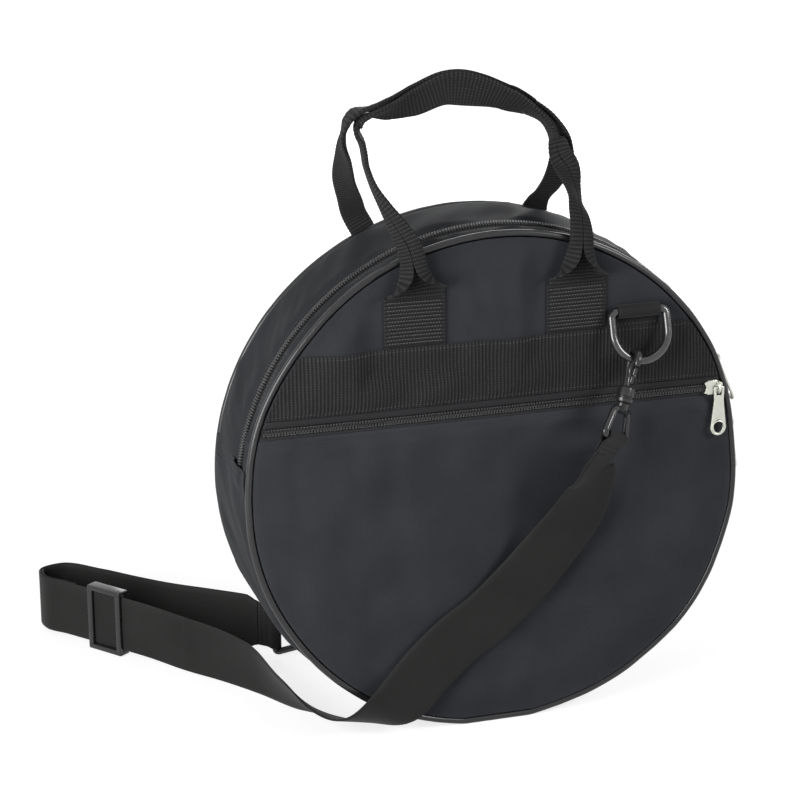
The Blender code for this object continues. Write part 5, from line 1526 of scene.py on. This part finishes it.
def rounded_loop(corners, radius, steps=5):
    """A closed flat path round the corners, each rounded by a smooth turn."""
    points = []
    for i, corner in enumerate(corners):
        before = Vector(corners[i - 1])
        here = Vector(corner)
        after = Vector(corners[(i + 1) % len(corners)])
        into = here + (before - here).normalized() * radius
        out = here + (after - here).normalized() * radius
        for k in range(steps + 1):
            t = k / steps
            points.append((1 - t) ** 2 * into + 2 * t * (1 - t) * here + t * t * out)
    return [(point.x, point.y) for point in points]


def outline_plate(outlines, thickness, bevel):
    """A flat plate with rounded edges, from outlines in its own plane."""
    data = bpy.data.curves.new("plate", "CURVE")
    data.dimensions = "2D"
    data.fill_mode = "BOTH"
    data.extrude = thickness / 2 - bevel
    data.bevel_depth = bevel
    data.bevel_resolution = 2
    data.offset = -bevel
    for outline in outlines:
        line = data.splines.new("POLY")
        line.points.add(len(outline) - 1)
        for spot, (x, y) in zip(line.points, outline):
            spot.co = (x, y, 0.0, 1.0)
        line.use_cyclic_u = True
    item = bpy.data.objects.new("plate", data)
    bpy.context.scene.collection.objects.link(item)
    mesh = bpy.data.meshes.new_from_object(item.evaluated_get(bpy.context.evaluated_depsgraph_get()))
    bpy.data.objects.remove(item, do_unlink=True)
    edit = bmesh.new()
    edit.from_mesh(mesh)
    bmesh.ops.remove_doubles(edit, verts=edit.verts, dist=0.000005)
    edit.to_mesh(mesh)
    edit.free()
    return mesh


def mirrored(points):
    """The same points across an outline's middle line, in the order that runs back."""
    return [(x, -y) for x, y in points[::-1]]


def build_slider(name, down, out, plate_turn=0.0, plate_shift=0.0):
    """A zip slider with its bridge, and the pull that hangs from it.

    plate_turn is how far the plate lies turned from the way the pull hangs, and plate_shift how far along.
    """
    across = down.cross(out)
    place = frame_matrix(joint_place(name + "_pull_swing"), down, -across, out)
    top = -PULL_THICKNESS / 2 - GAP - PULL_LIFT
    half = SLIDER_LENGTH / 2
    wide = SLIDER_WIDTH / 2
    edge_shares = SLIDER_SIDE_SHARES + mirrored(SLIDER_SIDE_SHARES) + SLIDER_NOTCH_SHARES
    plate_place = place @ Matrix.Rotation(math.radians(plate_turn), 4, "Z")
    plate_place = plate_place @ Matrix.Translation((plate_shift, 0.0, 0.0))
    shape = Shape()
    shape.include(outline_plate([[(half * x, wide * y) for x, y in edge_shares]], SLIDER_PLATE, SLIDER_BEVEL),
                  plate_place @ Matrix.Translation((0.0, 0.0, top - SLIDER_PLATE / 2)))
    for way in (-1.0, 1.0):
        middle = way * wide * 0.93
        bevelled_box(shape, (-half * 0.55, middle - 0.0004, top - SLIDER_PLATE - 0.0008),
                     (half * 0.35, middle + 0.0004, top - SLIDER_PLATE * 0.5), PULL_BEVEL, plate_place)
    arch = [Vector((x * BRIDGE_SPAN / 2, 0.0, top + z * BRIDGE_HEIGHT)) for x, z in arc(1.0, 0.0, 180.0, 12)]
    for foot in (arch[0], arch[-1]):
        foot.z -= SLIDER_PLATE / 2
    tube(shape, [place @ point for point in arch], BRIDGE_WIRE, 12, across,
         shares=[1.15, 1.15] + [1.0] * 9 + [1.15, 1.15])
    finish_shape("slider_" + name, shape, ZINC, name + "_slider", ["zip_slider_" + name])
    slot_end = PULL_BAR + PULL_SLOT_LENGTH
    neck = PULL_NECK_WIDTH / 2
    slot = PULL_SLOT_WIDTH / 2
    tip = PULL_LENGTH - PULL_WIDTH / 2
    shank = [(-PULL_BAR, -neck * 0.8), (-PULL_BAR * 0.5, -neck), (slot_end + neck, -neck * 0.92)]
    outer = shank + arc(PULL_WIDTH / 2, -90.0, 90.0, 15, (tip, 0.0)) + mirrored(shank)
    window = [(PULL_BAR, -slot), (PULL_BAR, slot), (slot_end, slot), (slot_end, -slot)]
    hole = [(tip - PULL_HOLE_SHIFT + x * PULL_HOLE_STRETCH, y)
            for x, y in arc(PULL_HOLE_RADIUS, 0.0, 345.0, 23)]
    shape = Shape()
    shape.include(outline_plate([outer, window, hole], PULL_THICKNESS, PULL_BEVEL), place)
    rim = [place @ Vector((tip + x * PULL_RIM_STRETCH, y, PULL_THICKNESS / 2))
           for x, y in arc(PULL_HOLE_RADIUS + PULL_RIM_OUT, 0.0, 345.0, 23)]
    tube(shape, rim, PULL_RIM_WIRE, 8, out, closed=True)
    finish_shape("pull_" + name, shape, ZINC, name + "_pull", ["zip_pull_" + name])


def build_sliders():
    for name, degrees in (("upper", UPPER_SLIDER_DEGREES), ("lower", LOWER_SLIDER_DEGREES)):
        angle = math.radians(degrees)
        build_slider(name, Vector((math.sin(angle), 0.0, -math.cos(angle))),
                     Vector((math.cos(angle), 0.0, math.sin(angle))))
    build_slider("pocket", Vector((0.0, 0.0, -1.0)), Vector((0.0, -1.0, 0.0)), POCKET_PLATE_TURN,
                 POCKET_PLATE_SHIFT)


def build_adjuster():
    """The slide adjuster: two rails, two end bars and the centre bar, all with rounded edges."""
    up = Vector((0.0, 0.0, 1.0))
    along = GLIDE_WAY.normalized()
    place = frame_matrix(GLIDE_PLACE, along, up.cross(along), up)
    layer = WEBBING_THICKNESS + GAP
    inner = WEBBING_WIDTH / 2 + GAP
    deep = layer + GAP + GLIDE_BAR_THICKNESS
    half = GLIDE_LENGTH / 2
    join = inner + GLIDE_RAIL / 2
    shape = Shape()
    for low in (inner, -inner - GLIDE_RAIL):
        bevelled_box(shape, (-half, -deep, low), (half, deep, low + GLIDE_RAIL), GLIDE_RAIL_BEVEL, place, 3)
    for low in (-half, half - GLIDE_BAR):
        bevelled_box(shape, (low, layer + GAP, -join), (low + GLIDE_BAR, deep, join), GLIDE_BAR_BEVEL, place,
                     3)
    bevelled_box(shape, (-GLIDE_BAR / 2, -deep, -join), (GLIDE_BAR / 2, -layer - GAP, join), GLIDE_BAR_BEVEL,
                 place, 3)
    finish_shape("adjuster_slide", shape, PLASTIC, "adjuster", ["slide_adjuster"])


# The shoulder strap


def build_strap_end(end, bar_place, across, toward, body):
    """The strap's sewn end: a loop round the eye's bar, and the doubled tail with its box of stitches."""
    run = toward - bar_place
    run = (run - run.dot(across) * across).normalized()
    face_out = across.cross(run)
    reach = EYE_WIRE + GAP + WEBBING_THICKNESS / 2
    tail = WEBBING_THICKNESS / 2 + 0.00005
    tails = [(STRAP_END_LENGTH - 0.0002, tail), (STRAP_END_LENGTH * 0.75, tail),
             (reach * 1.8, WEBBING_THICKNESS * 0.62)]
    path = tails + arc(reach, STRAP_LOOP_DEGREES, 360.0 - STRAP_LOOP_DEGREES, 18) + mirrored(tails)
    shape = Shape()
    add_webbing(shape, [bar_place + r * run + f * face_out for r, f in path], across, STRAP_END_WIDTH,
                WEBBING_THICKNESS * 0.92, 6)
    finish_shape("strap_loop_end_" + end, shape, STRAP_WEB, body, ["strap_end_" + end])
    shape = Shape()
    for side in (-1.0, 1.0):
        for share in STRAP_SEAM_SHARES:
            for i in range(STRAP_SEAM_STITCHES):
                a = (STRAP_END_WIDTH / 2 - STRAP_SEAM_INSET) * (2.0 * i / (STRAP_SEAM_STITCHES - 1) - 1.0)
                spot = bar_place + run * STRAP_END_LENGTH * share + a * across
                spot += side * face_out * (WEBBING_THICKNESS + 0.0001)
                stitch(shape, spot, across, side * face_out)
    finish_shape("strap_end_stitches_" + end, shape, DARK_THREAD, body)
    begin = bar_place + run * (STRAP_END_LENGTH + 2 * GAP)
    return [(begin + run * STRAP_END_LENGTH * i / 4, across) for i in range(3)]


def add_strap(shape, centres, acrosses, widths, stops, offset, start, end):
    """A stretch of the strap between two stops, to one side of its middle."""
    rings = []
    runs = []
    for i, stop in enumerate(stops):
        if not start - 1e-6 <= stop <= end + 1e-6:
            continue
        across, face_out = face_frame(centres, acrosses, i)
        section = flat_section(widths[i], WEBBING_THICKNESS * 0.94, 6)
        sag = STRAP_SAG * cloud(stop * 26.0, 4.0, 1.0)
        cups = [sag * (1.0 - (2.0 * a / widths[i]) ** 2) for a, o in section]
        rings.append([centres[i] + a * across + (o + offset + cup) * face_out
                      for (a, o), cup in zip(section, cups)])
        runs.append(stop)
        rounds = section_rounds(section)
    loft(shape, rings, rounds, runs)


def build_strap(front_bar, front_across, rear_bar, rear_across):
    """The strap's stretches, and the second layer that runs back from the adjuster."""
    reach = STRAP_FOOT - front_bar
    front_route = [(front_bar + Vector(shares) * reach, across) for shares, across in STRAP_FRONT_SHARES]
    front_end = build_strap_end("front", front_bar, -front_across, front_route[0][0], "front_eye")
    rear_end = build_strap_end("rear", rear_bar, rear_across, Vector(STRAP_LOOP_ROUTE[-1][0]), "case")
    route = front_end + front_route + STRAP_CORNER_ROUTE + STRAP_LOOP_ROUTE + rear_end[::-1]
    places = [Vector(place) for place, across in route]
    marks = distances(places)
    foot_point = len(front_end) + len(front_route) - 1
    turn_point = foot_point + len(STRAP_CORNER_ROUTE)
    foot = marks[foot_point]
    turn = marks[turn_point]
    past_glide = marks[turn_point + 3] - (marks[turn_point + 3] - marks[turn_point + 2]) / 4
    taper = 1.5 * (marks[2] - marks[0])
    total = marks[-1]
    even = {round(total * i / STRAP_STEPS, 7) for i in range(STRAP_STEPS + 1)}
    stops = sorted(even | {foot, turn, past_glide, 0.0, total})
    centres = values_at(places, marks, stops)
    acrosses = values_at([across for place, across in route], marks, stops)
    wider = WEBBING_WIDTH - STRAP_END_WIDTH
    widths = [STRAP_END_WIDTH + wider * smoothstep(0.0, 1.0, min(stop, total - stop) / taper)
              for stop in stops]
    inner = -(WEBBING_THICKNESS / 2 + GAP / 2)
    spans = (("strap_front_run", 0.0, foot, inner, "strap_front", "hung"),
             ("strap_corner_run", foot, turn, inner, "strap_corner", "laid"),
             ("strap_loop_run", turn, total, inner, "strap_loop", "folded"),
             ("strap_second_layer", past_glide, total, -inner, "strap_adjust_layer", "folded"))
    made = {}
    for name, start, end, offset, node, held in spans:
        shape = Shape()
        add_strap(shape, centres, acrosses, widths, stops, offset, start, end)
        made[name] = finish_shape(name, shape, STRAP_WEB, "case", [node], sharp=60.0)
    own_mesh(made["strap_front_run"])


# Stage: floor, light and camera


def shown_rays(tree):
    """1 for the rays that show a surface or the world itself, and 0 for those that only light."""
    seen = add_node(tree, "ShaderNodeLightPath")
    shown = maths(tree, "MAXIMUM", seen.outputs["Is Camera Ray"], seen.outputs["Is Glossy Ray"])
    return maths(tree, "MAXIMUM", shown, seen.outputs["Is Transmission Ray"])


def build_stage():
    shape = Shape()
    corners = ((-1, -1), (1, -1), (1, 1), (-1, 1))
    shape.face([shape.add((x * FLOOR_SIZE, y * FLOOR_SIZE, 0.0)) for x, y in corners])
    material, tree, shader = new_material("pale_floor")
    shader.inputs["Base Color"].default_value = FLOOR_GREY
    shader.inputs["Roughness"].default_value = FLOOR_ROUGHNESS
    place = add_node(tree, "ShaderNodeTexCoord").outputs["Object"]
    away = add_node(tree, "ShaderNodeVectorMath", {0: place}, operation="LENGTH").outputs["Value"]
    pale = add_node(tree, "ShaderNodeMapRange", {"Value": away, "From Min": FLOOR_FADE[0],
                                                 "From Max": FLOOR_FADE[1], "To Min": FLOOR_GLOW[0],
                                                 "To Max": FLOOR_GLOW[1]})
    glow = maths(tree, "MULTIPLY", shown_rays(tree), pale.outputs[0])
    tree.links.new(glow, shader.inputs["Emission Strength"])
    shader.inputs["Emission Color"].default_value = WHITE
    finish_shape("floor", shape, material, None)
    world = bpy.data.worlds.new("studio")
    bpy.context.scene.world = world
    world.use_nodes = True
    tree = world.node_tree
    back = tree.nodes["Background"]
    back.inputs["Color"].default_value = WHITE
    strength = maths(tree, "MULTIPLY_ADD", shown_rays(tree), 1.0 - WORLD_FILL, WORLD_FILL)
    tree.links.new(strength, back.inputs["Strength"])
    for name, lamp_place, size, power in LAMPS:
        data = bpy.data.lights.new(name, "AREA")
        data.shape = "SQUARE"
        data.size = size
        data.energy = power
        set_up(data, Vector(lamp_place), Vector(LAMP_TARGET) - Vector(lamp_place))


def set_up(data, place, toward):
    """A lamp or camera at its place, turned the way it looks."""
    item = bpy.data.objects.new(data.name, data)
    bpy.context.scene.collection.objects.link(item)
    item.location = place
    item.rotation_mode = "QUATERNION"
    item.rotation_quaternion = toward.to_track_quat("-Z", "Y")
    return item


def build_camera():
    data = bpy.data.cameras.new("camera")
    data.lens = CAMERA_LENS
    data.sensor_width = CAMERA_SENSOR
    data.shift_x, data.shift_y = CAMERA_SHIFT
    azimuth = math.radians(CAMERA_AZIMUTH)
    elevation = math.radians(CAMERA_ELEVATION)
    back = Vector((math.sin(azimuth) * math.cos(elevation), -math.cos(azimuth) * math.cos(elevation),
                   math.sin(elevation)))
    place = Vector((0.0, 0.0, CENTRE_HEIGHT)) + back * CAMERA_DISTANCE
    bpy.context.scene.camera = set_up(data, place, -back)


def build_case():
    build_camera()
    build_faces()
    build_insides()
    build_wall()
    build_main_zip()
    build_edges()
    build_fold()
    for face, side, body in (("front", -1, "front_flap"), ("back", 1, "case")):
        build_band(face, side, body)
        for hand in ("left", "right"):
            build_patch(face, side, hand, body)
    build_tab("front", -1, "front_ring_swing", "front_flap")
    build_tab("back", 1, "back_ring_swing", "case")
    build_pocket_zip()
    build_ring("ring_front", -1, "front_ring_swing", RING_TILT_DEGREES, "front_ring", "d_ring_front")
    build_ring("ring_back", 1, "back_ring_swing", 0.0, "back_ring", "d_ring_back")
    front_bar, front_across = build_hook("front", Vector((1.0, 0.0, 0.0)), FRONT_EYE_ACROSS,
                                         ("front_hook", "front_gate", "front_eye"))
    rear_bar, rear_across = build_hook("rear", Vector((0.0, 0.0, 1.0)), REAR_EYE_ACROSS,
                                       ("rear_hook", "rear_gate", "case"))
    build_sliders()
    build_adjuster()
    build_strap(front_bar, front_across, rear_bar, rear_across)
    build_handle("front_handle_webbing", "front_handle", FRONT_LEFT_LEG_SHARES, FRONT_RIGHT_LEG_SHARES,
                 HANDLE_LAYER, "handle_front")
    build_handle("back_handle_webbing", "back_handle", BACK_LEFT_LEG_SHARES, BACK_RIGHT_LEG_SHARES,
                 -HANDLE_LAYER, "handle_back")
    build_stage()


build_case()
bpy.context.scene.view_settings.view_transform = "Standard"
